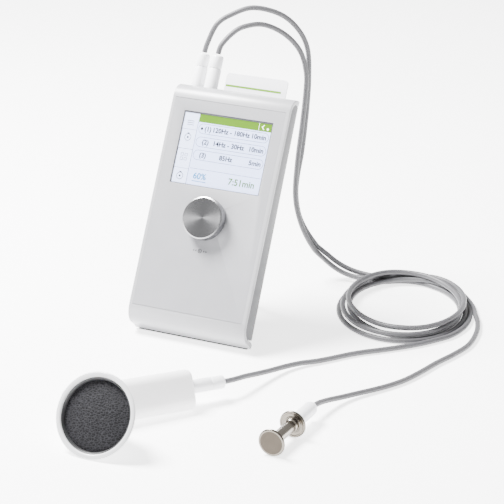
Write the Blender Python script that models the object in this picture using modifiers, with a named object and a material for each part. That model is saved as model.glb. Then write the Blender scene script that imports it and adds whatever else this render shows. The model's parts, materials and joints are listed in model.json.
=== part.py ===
"""Portable physiotherapy oscillation set.

A slim control unit leans on a fold-out kickstand. Two leads rise from plugs in its top edge, share one
coil on the table and run on to a hand applicator with a domed membrane and to a spool-shaped hand
electrode. A chip card slides into the top edge and a metal knob turns and presses.

Frame: metres, +Z up, the table is z = 0, the unit's width runs along X and its face looks along -Y.
The origin is the middle of the rubber strip that the unit stands on.
"""
import math

import bmesh
import bpy
from mathutils import Matrix, Vector
from mathutils.geometry import interpolate_bezier

MM = 0.001
GAP = 0.3 * MM

# Control unit: x across, s up along the face from the toe, h outwards from the face
LEAN = math.radians(27.3)
UNIT_FRAME_Y = -19.9 * MM
UNIT_FRAME_Z = 8.94 * MM
UNIT_HALF_WIDTH = 51.0 * MM
PLATE = 3.5 * MM
TOP_S = 197.4 * MM
ROLL_RADIUS = 11.0 * MM
TOP_DEPTH = 20.5 * MM
LIP_S = 17.7 * MM
TOE_S = 14.3 * MM
TOE_H = 12.0 * MM
SEAM_S = 185.4 * MM
OVERLAY_HALF_WIDTH = 48.2 * MM
SHELL_HALF_WIDTH = 49.8 * MM
SHELL_TOP_BACK = 22.8 * MM
SHELL_BOTTOM_BACK = 27.0 * MM
SHELL_WALL = 2.2 * MM
SHELL_ROUNDING = 8.0 * MM
BULGE_HALF_WIDTH = 36.0 * MM
BULGE_BACK = 36.0 * MM
BULGE_LOW_S = 20.0 * MM
BULGE_HIGH_S = 127.0 * MM

SCREEN_X = 0.5 * MM
SCREEN_S = 146.7 * MM
SCREEN_WIDTH = 77.4 * MM
SCREEN_HEIGHT = 58.1 * MM
KNOB_S = 93.0 * MM
KNOB_RADIUS = 17.0 * MM
KNOB_TOP = 8.8 * MM
KNOB_BOTTOM = 1.4 * MM
SHAFT_RADIUS = 3.0 * MM

PLUG_RADIUS = 5.15 * MM
PLUG_X = (-38.6 * MM, -26.4 * MM)
PLUG_H = -13.3 * MM
PLUG_LOWER = 21.0 * MM
HANDLE_PLUG_LOWER = 21.5 * MM
PLUG_UPPER = 10.3 * MM
PLUG_GROOVE = 0.5 * MM
SOCKET_RADIUS = 5.8 * MM
SOCKET_BORE_RADIUS = 2.6 * MM
SOCKET_TOP_S = 192.0 * MM

CARD_X = 11.65 * MM
CARD_H = -14.0 * MM
CARD_WIDTH = 54.0 * MM
CARD_LENGTH = 85.6 * MM
CARD_THICKNESS = 0.8 * MM
CARD_TOP_S = 212.2 * MM

SCREW_PLACES = ((-43.0, 24.0), (43.0, 24.0), (-43.0, 107.0), (43.0, 107.0))
SCREW_CLEARANCE_RADIUS = 1.6 * MM
SCREW_POCKET_RADIUS = 3.3 * MM
SCREW_THREAD_RADIUS = 1.3 * MM
SCREW_BOSS_RADIUS = 3.0 * MM
SHAFT_HOLE_RADIUS = 4.9 * MM
PASSAGE_LOW_S = 186.0 * MM
PASSAGE_HIGH_S = 200.0 * MM
PASSAGE_REACH = 6.2 * MM
STAND_S = 118.0 * MM
STAND_H = -40.2 * MM
STAND_LENGTH = 95.8 * MM
STAND_HALF_WIDTH = 15.0 * MM
STAND_PLATE = 2.8 * MM
STAND_SWING = math.radians(6.0)
STAND_BARREL_HALF = 16.8 * MM
STAND_LUG_X = 19.6 * MM
STAND_LUG_HALF = 2.2 * MM
STAND_PIN_HALF = 21.6 * MM
STAND_PIN_RADIUS = 1.5 * MM
STAND_LUG_BORE_RADIUS = 1.8 * MM
STAND_BARREL_BORE_RADIUS = 1.9 * MM
STAND_BARREL_RADIUS = 3.4 * MM
STAND_FOOT_DEPTH = 3.1 * MM

# Leads
CORD_RADIUS = 2.1 * MM
COIL_CENTRE = (127.0, 122.5)
COIL_TURN = math.radians(24.5)
COIL_RADII = (47.0, 62.0)
COIL_BAND = 6.6
COIL_HEIGHT = 10.4

LEFT_RISE = (
    (-38.6, 95.25, 203.4), (-36.6, 97.3, 211.5), (-30.8, 102.0, 225.7), (-22.9, 110.5, 232.1),
    (-9.3, 122.3, 236.8), (7.5, 136.2, 230.6), (18.3, 146.6, 217.8), (24.6, 153.2, 200.0),
    (25.4, 154.8, 175.4), (24.4, 153.8, 149.4), (21.6, 151.4, 114.4), (18.6, 148.9, 91.2),
    (17.8, 148.2, 75.2), (20.0, 150.2, 56.7), (26.0, 155.5, 39.7), (35.2, 163.2, 22.8),
    (44.4, 170.0, 11.4), (54.0, 172.6, 6.4), (63.5, 170.2, 6.2), (73.6, 163.2, 7.2))
RIGHT_RISE = (
    (-26.4, 95.25, 203.4), (-25.0, 98.0, 210.2), (-18.8, 106.0, 218.9), (-12.2, 113.0, 223.2),
    (-0.6, 124.0, 223.6), (12.2, 135.9, 214.6), (21.6, 145.4, 199.5), (25.4, 149.4, 181.0),
    (25.2, 149.2, 163.0), (23.0, 147.0, 134.0), (20.6, 144.4, 106.0), (19.4, 143.1, 78.0),
    (21.8, 145.6, 57.0), (27.2, 151.4, 37.0), (35.2, 159.8, 19.0), (43.6, 166.4, 7.4),
    (52.0, 167.6, 3.1), (60.5, 163.0, 2.2), (68.6, 154.6, 2.2))
ELECTRODE_RUN = (
    (170.4, 159.0, 2.2), (178.5, 148.0, 2.2), (187.2, 130.6, 2.2), (196.2, 106.0, 2.2), (200.2, 79.0, 2.2),
    (197.0, 56.5, 2.2), (191.4, 35.5, 2.2), (187.0, 13.6, 2.2), (182.0, -5.7, 2.2), (175.3, -20.8, 2.3),
    (168.0, -33.6, 2.55), (160.6, -46.0, 3.1), (154.4, -60.0, 4.6), (150.4, -73.8, 7.2),
    (148.2, -86.0, 9.4), (147.4, -95.9, 10.2))
APPLICATOR_RUN = (
    (166.6, 59.8, 2.2), (158.0, 53.6, 2.2), (148.0, 42.8, 2.2), (134.6, 30.6, 2.2), (124.8, 19.6, 2.2),
    (116.3, 7.6, 2.3), (107.9, -3.4, 2.4), (99.2, -14.0, 3.1), (92.4, -27.4, 4.2), (88.0, -42.0, 6.0),
    (84.4, -57.0, 8.6), (81.2, -71.0, 11.4), (78.9, -81.0, 12.9), (76.2, -87.6, 13.5), (73.48, -91.44, 13.67))

# Hand applicator
HEAD_CENTRE = (33.5 * MM, -211.1 * MM, 27.7 * MM)
HEAD_TILT = math.radians(29.2)
HANDLE_END = (56.8 * MM, -113.6 * MM, 14.64 * MM)
HANDLE_YAW = math.radians(53.0)
HANDLE_PITCH = math.radians(-2.0)
HANDLE_ROLL = math.radians(25.0)
HANDLE_WIDTH = 27.0 * MM
HANDLE_THICKNESS = 21.0 * MM
HANDLE_ROUNDING = 7.0 * MM
HANDLE_LENGTH = 97.2 * MM
NECK_PLACE = 84.0 * MM
NECK_DEPTH = -20.0 * MM
NECK_RADIUS = 12.0 * MM
CUP_OUTSIDE = ((31.1, -0.7), (30.9, -1.2), (29.8, -3.2), (28.4, -5.6), (25.7, -10.5), (21.4, -18.0),
               (18.0, -22.6), (15.0, -24.4), (0, -25.0))
CUP_INSIDE = ((0, -22.5), (15.0, -21.9), (19.0, -17.6), (23.6, -9.9), (24.0, -7.1), (27.1, -6.7),
              (27.3, -1.0), (28.6, -0.1), (30.4, -0.1))
CUP_CLEARANCE = 0.4

# Hand electrode, a spool on its rims
SPOOL_PLACE = (147.4 * MM, -163.6 * MM)
SPOOL_RADIUS = 10.2 * MM
SPOOL_LENGTH = 36.0 * MM
SPOOL_DISC = 2.0 * MM

WHITE = (0.84, 0.84, 0.86)
PEARL = (0.69, 0.69, 0.71)
SHELL_GREY = (0.42, 0.42, 0.44)
CORD_GREY = (0.30, 0.30, 0.32)
DARK = (0.06, 0.06, 0.07)
STEEL = (0.62, 0.60, 0.57)
GREEN = (0.05, 0.25, 0.12)
BRASS = (0.75, 0.58, 0.27)


# ---------------------------------------------------------------- scene, materials and helpers

def clear_scene():
    for item in list(bpy.data.objects):
        bpy.data.objects.remove(item, do_unlink=True)
    for group in list(bpy.data.collections):
        bpy.data.collections.remove(group)


def make_collection(name):
    group = bpy.data.collections.new(name)
    bpy.context.scene.collection.children.link(group)
    return group


def material(name, colour, roughness, metallic=0.0):
    made = bpy.data.materials.new(name)
    made.use_nodes = True
    shader = made.node_tree.nodes["Principled BSDF"]
    shader.inputs["Base Color"].default_value = (*colour, 1.0)
    shader.inputs["Roughness"].default_value = roughness
    shader.inputs["Metallic"].default_value = metallic
    return made


def place(name, data, group, parent=None, at=(0, 0, 0), turn=(0, 0, 0)):
    made = bpy.data.objects.new(name, data)
    made.location = at
    made.rotation_euler = turn
    made.parent = parent
    group.objects.link(made)
    return made


def axis_empty(name, parent=None, at=(0, 0, 0), turn=(0, 0, 0)):
    made = place(name, None, PARTS, parent, at, turn)
    made.empty_display_size = 0.01
    return made


def piece(name, mesh, look, parent=None, at=(0, 0, 0), turn=(0, 0, 0), smooth=35.0):
    colour, roughness, metallic = look
    made = place(name, mesh, PARTS, parent, at, turn)
    made.data.materials.append(material(name, colour, roughness, metallic))
    if smooth:
        made.data.shade_smooth()
        made.data.set_sharp_from_angle(angle=math.radians(smooth))
    return made


def cutter(name, mesh, parent=None, at=(0, 0, 0), turn=(0, 0, 0)):
    made = place(name, mesh, CUTTERS, parent, at, turn)
    made.display_type = "WIRE"
    made.hide_render = True
    return made


def combine(target, tool, operation="DIFFERENCE"):
    step = target.modifiers.new(f"{operation.lower()}_{tool.name}", "BOOLEAN")
    step.operation = operation
    step.object = tool
    step.solver = "EXACT"


def mesh_from(bm, name):
    mesh = bpy.data.meshes.new(name)
    bmesh.ops.recalc_face_normals(bm, faces=bm.faces)
    bm.to_mesh(mesh)
    bm.free()
    return mesh


def box_mesh(name, low, high, rounding=0.0, segments=2, along=None):
    """A box between two corners; along picks the axis whose parallel edges are rounded."""
    bm = bmesh.new()
    size = [high[axis] - low[axis] for axis in range(3)]
    centre = [(high[axis] + low[axis]) / 2 for axis in range(3)]
    bmesh.ops.create_cube(bm, size=1.0, matrix=Matrix.Translation(centre) @ Matrix.Diagonal((*size, 1.0)))
    if rounding:
        edges = list(bm.edges)
        if along is not None:
            edges = [e for e in edges if abs((e.verts[1].co - e.verts[0].co)[along]) > size[along] * 0.9]
        bmesh.ops.bevel(bm, geom=edges, offset=rounding, segments=segments, profile=0.5, affect="EDGES")
    return mesh_from(bm, name)


def rod_mesh(name, radius, low, high, steps=24, axis="Z"):
    """A cylinder around the origin from low to high along an axis."""
    bm = bmesh.new()
    turn = {"X": Matrix.Rotation(math.pi / 2, 4, "Y"), "Y": Matrix.Rotation(-math.pi / 2, 4, "X")}
    middle = {"X": ((low + high) / 2, 0, 0), "Y": (0, (low + high) / 2, 0), "Z": (0, 0, (low + high) / 2)}
    matrix = Matrix.Translation(middle[axis]) @ turn.get(axis, Matrix.Identity(4))
    bmesh.ops.create_cone(bm, cap_ends=True, segments=steps, radius1=radius, radius2=radius,
                          depth=high - low, matrix=matrix)
    return mesh_from(bm, name)


def profile_mesh(name, profile):
    """The half section of a turned body. It runs down the outer side from top to bottom and is closed
    by the axis, or by its own inner side when it comes back to its first point."""
    mesh = bpy.data.meshes.new(name)
    points = [(radius, 0.0, height) for radius, height in profile]
    edges = [(i, i + 1) for i in range(len(points) - 1)]
    if profile[0][0] > 0 and profile[-1][0] > 0:
        edges.append((len(points) - 1, 0))
    mesh.from_pydata(points, edges, [])
    return mesh


def screw_round(made, steps):
    screw = made.modifiers.new("turn", "SCREW")
    screw.axis = "Z"
    screw.angle = math.tau
    screw.steps = steps
    screw.render_steps = steps
    screw.use_merge_vertices = True
    screw.merge_threshold = 0.00001
    screw.use_smooth_shade = True
    return made


def turned(name, profile, look, parent, steps=32, at=(0, 0, 0), turn=(0, 0, 0)):
    return screw_round(piece(name, profile_mesh(name, profile), look, parent, at, turn, smooth=None), steps)


def extruded_mesh(name, outline, half_width, rounded=None, offset=0.0, segments=4):
    """An outline in the local YZ plane drawn out along X; rounded picks edges for a large radius."""
    bm = bmesh.new()
    ring = [bm.verts.new((-half_width, y, z)) for y, z in outline]
    face = bm.faces.new(ring)
    drawn = bmesh.ops.extrude_face_region(bm, geom=[face])
    for vert in (item for item in drawn["geom"] if isinstance(item, bmesh.types.BMVert)):
        vert.co.x = half_width
    bmesh.ops.recalc_face_normals(bm, faces=bm.faces)
    if rounded:
        edges = [edge for edge in bm.edges if rounded(edge)]
        bmesh.ops.bevel(bm, geom=edges, offset=offset, segments=segments, profile=0.5, affect="EDGES")
    return mesh_from(bm, name)


def arc(centre, radii, start, end, steps):
    """Points of an elliptic arc in the (s, h) plane; angles in degrees from +s towards +h."""
    points = []
    for i in range(steps + 1):
        angle = math.radians(start + (end - start) * i / steps)
        points.append((centre[0] + radii[0] * math.cos(angle), centre[1] + radii[1] * math.sin(angle)))
    return points


def tube(name, points, radius, look):
    """A lead: a poly line with a round section and filled ends."""
    curve = bpy.data.curves.new(name, "CURVE")
    curve.dimensions = "3D"
    curve.bevel_depth = radius
    curve.bevel_resolution = 2
    curve.use_fill_caps = True
    spline = curve.splines.new("POLY")
    spline.points.add(len(points) - 1)
    for point, place_of in zip(spline.points, points):
        point.co = (*place_of, 1.0)
    made = place(name, curve, PARTS)
    curve.materials.append(material(name, *look))
    return made


def smooth_route(route, spacing):
    """Even points along one smooth curve through the route's points, given in millimetres."""
    knots = [Vector(point) * MM for point in route]
    tangents = []
    for i, knot in enumerate(knots):
        before = knots[max(i - 1, 0)]
        after = knots[min(i + 1, len(knots) - 1)]
        tangents.append((after - before) / (2 if 0 < i < len(knots) - 1 else 1))
    dense = [knots[0]]
    for i in range(len(knots) - 1):
        first = knots[i] + tangents[i] / 3
        second = knots[i + 1] - tangents[i + 1] / 3
        dense.extend(interpolate_bezier(knots[i], first, second, knots[i + 1], 24)[1:])
    lengths = [0.0]
    for a, b in zip(dense, dense[1:]):
        lengths.append(lengths[-1] + (b - a).length)
    count = max(2, round(lengths[-1] / spacing))
    points = []
    j = 0
    for i in range(count + 1):
        target = lengths[-1] * i / count
        while j < len(dense) - 2 and lengths[j + 1] < target:
            j += 1
        share = (target - lengths[j]) / max(lengths[j + 1] - lengths[j], 1e-9)
        points.append(dense[j].lerp(dense[j + 1], min(max(share, 0.0), 1.0)))
    return points


# ---------------------------------------------------------------- control unit: covers

def cover_outline():
    """The front plate's section: top return, roll, flat face, toe that sweeps back to the table."""
    roll = (TOP_S - ROLL_RADIUS, -ROLL_RADIUS)
    toe = (LIP_S, -TOE_H)
    outer = [(TOP_S, -TOP_DEPTH)]
    outer += arc(roll, (ROLL_RADIUS, ROLL_RADIUS), 0, 90, 6)
    outer += arc(toe, (TOE_S, TOE_H), 90, 180, 6)
    outer += [(2.7 * MM, -15.5 * MM), (0.9 * MM, -19.3 * MM)]
    inner = [(4.3 * MM, -20.3 * MM), (6.2 * MM, -16.6 * MM)]
    inner += arc(toe, (TOE_S - PLATE, TOE_H - PLATE), 180, 90, 6)
    inner += arc(roll, (ROLL_RADIUS - PLATE, ROLL_RADIUS - PLATE), 90, 0, 6)
    inner.append((TOP_S - PLATE, -TOP_DEPTH))
    return outer + inner


def shell_outline(inset):
    """The rear shell's section, lying 0.3 mm inside the front plate, thicker towards the bottom."""
    room = PLATE + GAP + inset
    roll = (TOP_S - ROLL_RADIUS, -ROLL_RADIUS)
    toe = (LIP_S, -TOE_H)
    front = arc(roll, (ROLL_RADIUS - room, ROLL_RADIUS - room), 0, 90, 6)
    front += arc(toe, (TOE_S - room, TOE_H - room), 90, 180, 6)
    back = [(7.6 * MM + inset, -SHELL_BOTTOM_BACK + inset), (TOP_S - room, -SHELL_TOP_BACK + inset)]
    return front + back


def shell_back_edge(edge):
    return max(vert.co.z for vert in edge.verts) < -TOP_DEPTH


def make_front_cover(unit):
    def top_corner(edge):
        a, b = (vert.co for vert in edge.verts)
        return abs(a.x - b.x) < 1e-6 and max(a.z, b.z) < -TOP_DEPTH + 1e-6 and min(a.y, b.y) > LIP_S * 2

    mesh = extruded_mesh("front_cover", cover_outline(), UNIT_HALF_WIDTH, top_corner, 7.5 * MM, 4)
    cover = piece("front_cover", mesh, (PEARL, 0.38, 0.0), unit)
    low = (-OVERLAY_HALF_WIDTH, LIP_S, -0.8 * MM)
    high = (OVERLAY_HALF_WIDTH, SEAM_S, 2 * MM)
    combine(cover, cutter("overlay_recess", box_mesh("overlay_recess", low, high), unit))
    low = (SCREEN_X - SCREEN_WIDTH / 2, SCREEN_S - SCREEN_HEIGHT / 2, -9 * MM)
    high = (SCREEN_X + SCREEN_WIDTH / 2, SCREEN_S + SCREEN_HEIGHT / 2, 4 * MM)
    combine(cover, cutter("screen_window", box_mesh("screen_window", low, high), unit))
    hole = rod_mesh("shaft_hole", SHAFT_HOLE_RADIUS, -9 * MM, 4 * MM)
    combine(cover, cutter("shaft_hole", hole, unit, (0, KNOB_S, 0)))
    for side, x in zip(("left", "right"), PLUG_X):
        name = f"{side}_plug_hole"
        hole = rod_mesh(name, PLUG_RADIUS + GAP, 188 * MM, 201 * MM, 24, "Y")
        combine(cover, cutter(name, hole, unit, (x, 0, PLUG_H)))
    reach = CARD_WIDTH / 2 + 0.8 * MM
    slot = box_mesh("card_slot", (CARD_X - reach, 190 * MM, CARD_H - 1.0 * MM),
                    (CARD_X + reach, 201 * MM, CARD_H + 1.0 * MM))
    combine(cover, cutter("card_slot", slot, unit))
    for number, (x, s) in enumerate(SCREW_PLACES, 1):
        name = f"screw_boss_{number}"
        boss = rod_mesh(name, SCREW_BOSS_RADIUS, -14.0 * MM, -2.0 * MM, 16)
        combine(cover, cutter(name, boss, unit, (x * MM, s * MM, 0)), "UNION")
        name = f"screw_thread_{number}"
        thread = rod_mesh(name, SCREW_THREAD_RADIUS, -15.0 * MM, -5.0 * MM, 12)
        combine(cover, cutter(name, thread, unit, (x * MM, s * MM, 0)))


def make_face_overlay(unit):
    low = (-OVERLAY_HALF_WIDTH + GAP, LIP_S + GAP, -0.5 * MM)
    high = (OVERLAY_HALF_WIDTH - GAP, SEAM_S - GAP, 0.0)
    overlay = piece("face_overlay", box_mesh("face_overlay", low, high), (PEARL, 0.45, 0.0), unit)
    window = box_mesh("overlay_window",
                      (SCREEN_X - SCREEN_WIDTH / 2, SCREEN_S - SCREEN_HEIGHT / 2, -3 * MM),
                      (SCREEN_X + SCREEN_WIDTH / 2, SCREEN_S + SCREEN_HEIGHT / 2, 3 * MM))
    combine(overlay, cutter("overlay_window", window, unit))
    hole = rod_mesh("overlay_hole", SHAFT_HOLE_RADIUS, -3 * MM, 3 * MM)
    combine(overlay, cutter("overlay_hole", hole, unit, (0, KNOB_S, 0)))


def make_rear_shell(unit):
    outline = shell_outline(0.0)
    mesh = extruded_mesh("rear_shell", outline, SHELL_HALF_WIDTH, shell_back_edge, SHELL_ROUNDING, 4)
    shell = piece("rear_shell", mesh, (SHELL_GREY, 0.5, 0.0), unit)
    low = (-BULGE_HALF_WIDTH, BULGE_LOW_S, -BULGE_BACK)
    high = (BULGE_HALF_WIDTH, BULGE_HIGH_S, -15 * MM)
    bulge = box_mesh("rear_bulge", low, high, 5 * MM, 3)
    combine(shell, cutter("rear_bulge", bulge, unit), "UNION")
    for side in (-1, 1):
        name = f"stand_lug_{'left' if side < 0 else 'right'}"
        x = side * STAND_LUG_X
        lug = box_mesh(name, (x - STAND_LUG_HALF, STAND_S - 4.5 * MM, -44.2 * MM),
                       (x + STAND_LUG_HALF, STAND_S + 4.5 * MM, -33 * MM), 3.0 * MM, 3, 0)
        combine(shell, cutter(name, lug, unit), "UNION")
    cavity = extruded_mesh("shell_cavity", shell_outline(SHELL_WALL), SHELL_HALF_WIDTH - SHELL_WALL,
                           shell_back_edge, SHELL_ROUNDING - SHELL_WALL, 4)
    combine(shell, cutter("shell_cavity", cavity, unit))
    mouth = box_mesh("shell_mouth", (-SHELL_HALF_WIDTH + SHELL_WALL, 21 * MM, -12 * MM),
                     (SHELL_HALF_WIDTH - SHELL_WALL, 186 * MM, 2 * MM))
    combine(shell, cutter("shell_mouth", mouth, unit))
    well = box_mesh("bulge_cavity", (low[0] + SHELL_WALL, low[1] + SHELL_WALL, low[2] + SHELL_WALL),
                    (high[0] - SHELL_WALL, high[1] - SHELL_WALL, -12 * MM))
    combine(shell, cutter("bulge_cavity", well, unit))
    sockets = box_mesh("socket_passage", (PLUG_X[0] - PASSAGE_REACH, PASSAGE_LOW_S, PLUG_H - PASSAGE_REACH),
                       (PLUG_X[1] + PASSAGE_REACH, PASSAGE_HIGH_S, PLUG_H + PASSAGE_REACH))
    combine(shell, cutter("socket_passage", sockets, unit))
    reach = CARD_WIDTH / 2 + 1.2 * MM
    passage = box_mesh("card_passage", (CARD_X - reach, PASSAGE_LOW_S, CARD_H - 1.6 * MM),
                       (CARD_X + reach, PASSAGE_HIGH_S, CARD_H + 1.6 * MM))
    combine(shell, cutter("card_passage", passage, unit))
    door = box_mesh("battery_opening", (-27 * MM, 31 * MM, -40 * MM), (27 * MM, 81 * MM, -30 * MM))
    combine(shell, cutter("battery_opening", door, unit))
    inlet = box_mesh("charge_opening", (-53 * MM, 135 * MM, -16.5 * MM), (-44 * MM, 145 * MM, -8.5 * MM))
    combine(shell, cutter("charge_opening", inlet, unit))
    bore = rod_mesh("stand_pin_bore", STAND_LUG_BORE_RADIUS, -40 * MM, 40 * MM, 16, "X")
    combine(shell, cutter("stand_pin_bore", bore, unit, (0, STAND_S, STAND_H)))
    for number, (x, s) in enumerate(SCREW_PLACES, 1):
        name = f"screw_clearance_{number}"
        hole = rod_mesh(name, SCREW_CLEARANCE_RADIUS, -50 * MM, -10 * MM, 12)
        combine(shell, cutter(name, hole, unit, (x * MM, s * MM, 0)))
        name = f"screw_pocket_{number}"
        pocket = rod_mesh(name, SCREW_POCKET_RADIUS, -50 * MM, -21.6 * MM, 16)
        combine(shell, cutter(name, pocket, unit, (x * MM, s * MM, 0)))


def make_case_screws(unit):
    for number, (x, s) in enumerate(SCREW_PLACES, 1):
        profile = [(0, -9.0), (1.0, -9.0), (1.0, -21.9), (2.7, -21.9), (2.7, -23.4),
                   (1.2, -23.4), (1.2, -22.8), (0, -22.8)]
        points = [(radius * MM, height * MM) for radius, height in profile]
        turned(f"case_screw_{number}", points, (STEEL, 0.3, 1.0), unit, 12, (x * MM, s * MM, 0))


def make_battery_door(unit):
    mesh = box_mesh("battery_door", (-26.7 * MM, 31.3 * MM, -BULGE_BACK),
                    (26.7 * MM, 80.7 * MM, -BULGE_BACK + 1.9 * MM), 1.5 * MM, 2, 2)
    piece("battery_door", mesh, (SHELL_GREY, 0.5, 0.0), unit)


def make_foot_strip():
    """A black rubber strip below the toe, flat on the table."""
    outline = [(-2.6, 0.0), (2.6, 0.0), (3.2, 2.0), (0.55, 3.3), (-2.1, 0.62)]
    mesh = extruded_mesh("foot_strip", [(y * MM, z * MM) for y, z in outline], 48 * MM)
    piece("foot_strip", mesh, (DARK, 0.8, 0.0), smooth=None)


# ---------------------------------------------------------------- control unit: inside

def make_display(unit):
    half = (SCREEN_WIDTH / 2 - GAP, SCREEN_HEIGHT / 2 - GAP)
    mesh = box_mesh("display_window", (SCREEN_X - half[0], SCREEN_S - half[1], -2.4 * MM),
                    (SCREEN_X + half[0], SCREEN_S + half[1], -0.8 * MM))
    piece("display_window", mesh, ((0.75, 0.80, 0.95), 0.12, 0.0), unit, smooth=None)
    mesh = box_mesh("display_module", (SCREEN_X - 41.5 * MM, 114.2 * MM, -8.0 * MM),
                    (SCREEN_X + 41.5 * MM, 179.5 * MM, -4.0 * MM), 0.8 * MM, 1)
    piece("display_module", mesh, ((0.5, 0.5, 0.52), 0.35, 0.6), unit, smooth=None)


def make_boards(unit):
    mesh = box_mesh("main_board", (-38 * MM, 16 * MM, -16.0 * MM), (38 * MM, 112 * MM, -14.4 * MM))
    piece("main_board", mesh, (GREEN, 0.5, 0.0), unit, smooth=None)
    mesh = box_mesh("output_module", (-30 * MM, 88 * MM, -32.0 * MM),
                    (30 * MM, 120 * MM, -16.4 * MM), MM, 1)
    piece("output_module", mesh, ((0.10, 0.10, 0.12), 0.6, 0.0), unit, smooth=None)
    mesh = box_mesh("battery_pack", (-30 * MM, 26 * MM, -32.4 * MM), (30 * MM, 85 * MM, -16.6 * MM),
                    4 * MM, 2, 1)
    piece("battery_pack", mesh, ((0.12, 0.20, 0.45), 0.45, 0.0), unit, smooth=None)
    speaker = rod_mesh("speaker", 9.0 * MM, -19.6 * MM, -16.0 * MM, 24)
    piece("speaker", speaker, (DARK, 0.5, 0.0), unit, (-33 * MM, 150 * MM, 0))
    mesh = box_mesh("charge_socket", (-49.9 * MM, 135.4 * MM, -16.1 * MM),
                    (-40 * MM, 144.6 * MM, -8.9 * MM))
    socket = piece("charge_socket", mesh, (DARK, 0.4, 0.0), unit, smooth=None)
    bore = rod_mesh("charge_bore", 2.4 * MM, -55 * MM, -42 * MM, 16, "X")
    combine(socket, cutter("charge_bore", bore, unit, (0, 140 * MM, -12.5 * MM)))


def make_encoder(unit, press, turn):
    """Push encoder: a fixed body, a plunger that only presses, and the shaft that also turns."""
    mesh = box_mesh("encoder_body", (-6.4 * MM, KNOB_S - 6.4 * MM, -14.0 * MM),
                    (6.4 * MM, KNOB_S + 6.4 * MM, -4.2 * MM))
    body = piece("encoder_body", mesh, ((0.35, 0.35, 0.36), 0.4, 0.7), unit, smooth=None)
    bush = rod_mesh("encoder_bush", 4.5 * MM, -6 * MM, -0.2 * MM)
    combine(body, cutter("encoder_bush", bush, unit, (0, KNOB_S, 0)), "UNION")
    chamber = rod_mesh("encoder_chamber", 4.9 * MM, -11.0 * MM, -6.2 * MM)
    combine(body, cutter("encoder_chamber", chamber, unit, (0, KNOB_S, 0)))
    throat = rod_mesh("encoder_throat", 3.4 * MM, -8 * MM, 3 * MM)
    combine(body, cutter("encoder_throat", throat, unit, (0, KNOB_S, 0)))
    plunger = rod_mesh("encoder_plunger", 4.5 * MM, -9.3 * MM, -8.1 * MM, 20)
    piece("encoder_plunger", plunger, (BRASS, 0.35, 1.0), press)
    shaft = rod_mesh("knob_shaft", SHAFT_RADIUS, -7.8 * MM, 6.9 * MM, 20)
    piece("knob_shaft", shaft, (STEEL, 0.3, 1.0), turn)
    top = KNOB_TOP
    low = KNOB_BOTTOM
    profile = [(0, top), (15.8 * MM, top), (16.75 * MM, top - 0.45 * MM), (KNOB_RADIUS, top - 1.3 * MM),
               (KNOB_RADIUS, low), (15.2 * MM, low), (15.2 * MM, 5.6 * MM), (5.2 * MM, 5.6 * MM),
               (5.2 * MM, low), (SHAFT_RADIUS + GAP, low), (SHAFT_RADIUS + GAP, 7.2 * MM), (0, 7.2 * MM)]
    turned("knob", profile, (STEEL, 0.25, 1.0), turn, 36)


def make_card(unit, slide):
    half = CARD_WIDTH / 2
    low = CARD_TOP_S - CARD_LENGTH
    mesh = box_mesh("chip_card", (CARD_X - half, low, CARD_H - CARD_THICKNESS / 2),
                    (CARD_X + half, CARD_TOP_S, CARD_H + CARD_THICKNESS / 2), 3.0 * MM, 4, 2)
    card = piece("chip_card", mesh, (WHITE, 0.4, 0.0), slide)
    pocket = box_mesh("chip_pocket", (CARD_X - 6.6 * MM, low + 18 * MM, CARD_H + 0.1 * MM),
                      (CARD_X + 6.6 * MM, low + 30 * MM, CARD_H + 2 * MM))
    combine(card, cutter("chip_pocket", pocket, slide))
    mesh = box_mesh("card_chip", (CARD_X - 6.3 * MM, low + 18.3 * MM, CARD_H + 0.22 * MM),
                    (CARD_X + 6.3 * MM, low + 29.7 * MM, CARD_H + 0.4 * MM))
    piece("card_chip", mesh, (BRASS, 0.3, 1.0), slide, smooth=None)
    mesh = box_mesh("card_reader", (CARD_X - 30 * MM, low - 4 * MM, -18.4 * MM),
                    (CARD_X + 30 * MM, low + 34 * MM, -9.4 * MM), 1.0 * MM, 1)
    reader = piece("card_reader", mesh, (DARK, 0.5, 0.0), unit, smooth=None)
    slot = box_mesh("reader_slot", (CARD_X - half - 0.5 * MM, low - 0.6 * MM, CARD_H - 0.9 * MM),
                    (CARD_X + half + 0.5 * MM, low + 40 * MM, CARD_H + 0.9 * MM))
    combine(reader, cutter("reader_slot", slot, unit))


def make_output_sockets(unit):
    for side, x in zip(("left", "right"), PLUG_X):
        low = -10.5 * MM
        floor = low + 2.5 * MM
        bore = SOCKET_BORE_RADIUS
        profile = [(0, floor), (bore, floor), (bore, 0), (SOCKET_RADIUS, 0), (SOCKET_RADIUS, low), (0, low)]
        turned(f"output_socket_{side}", profile, (DARK, 0.45, 0.0), unit, 24,
               (x, SOCKET_TOP_S, PLUG_H), (-math.pi / 2, 0, 0))


# ---------------------------------------------------------------- control unit: kickstand

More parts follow.
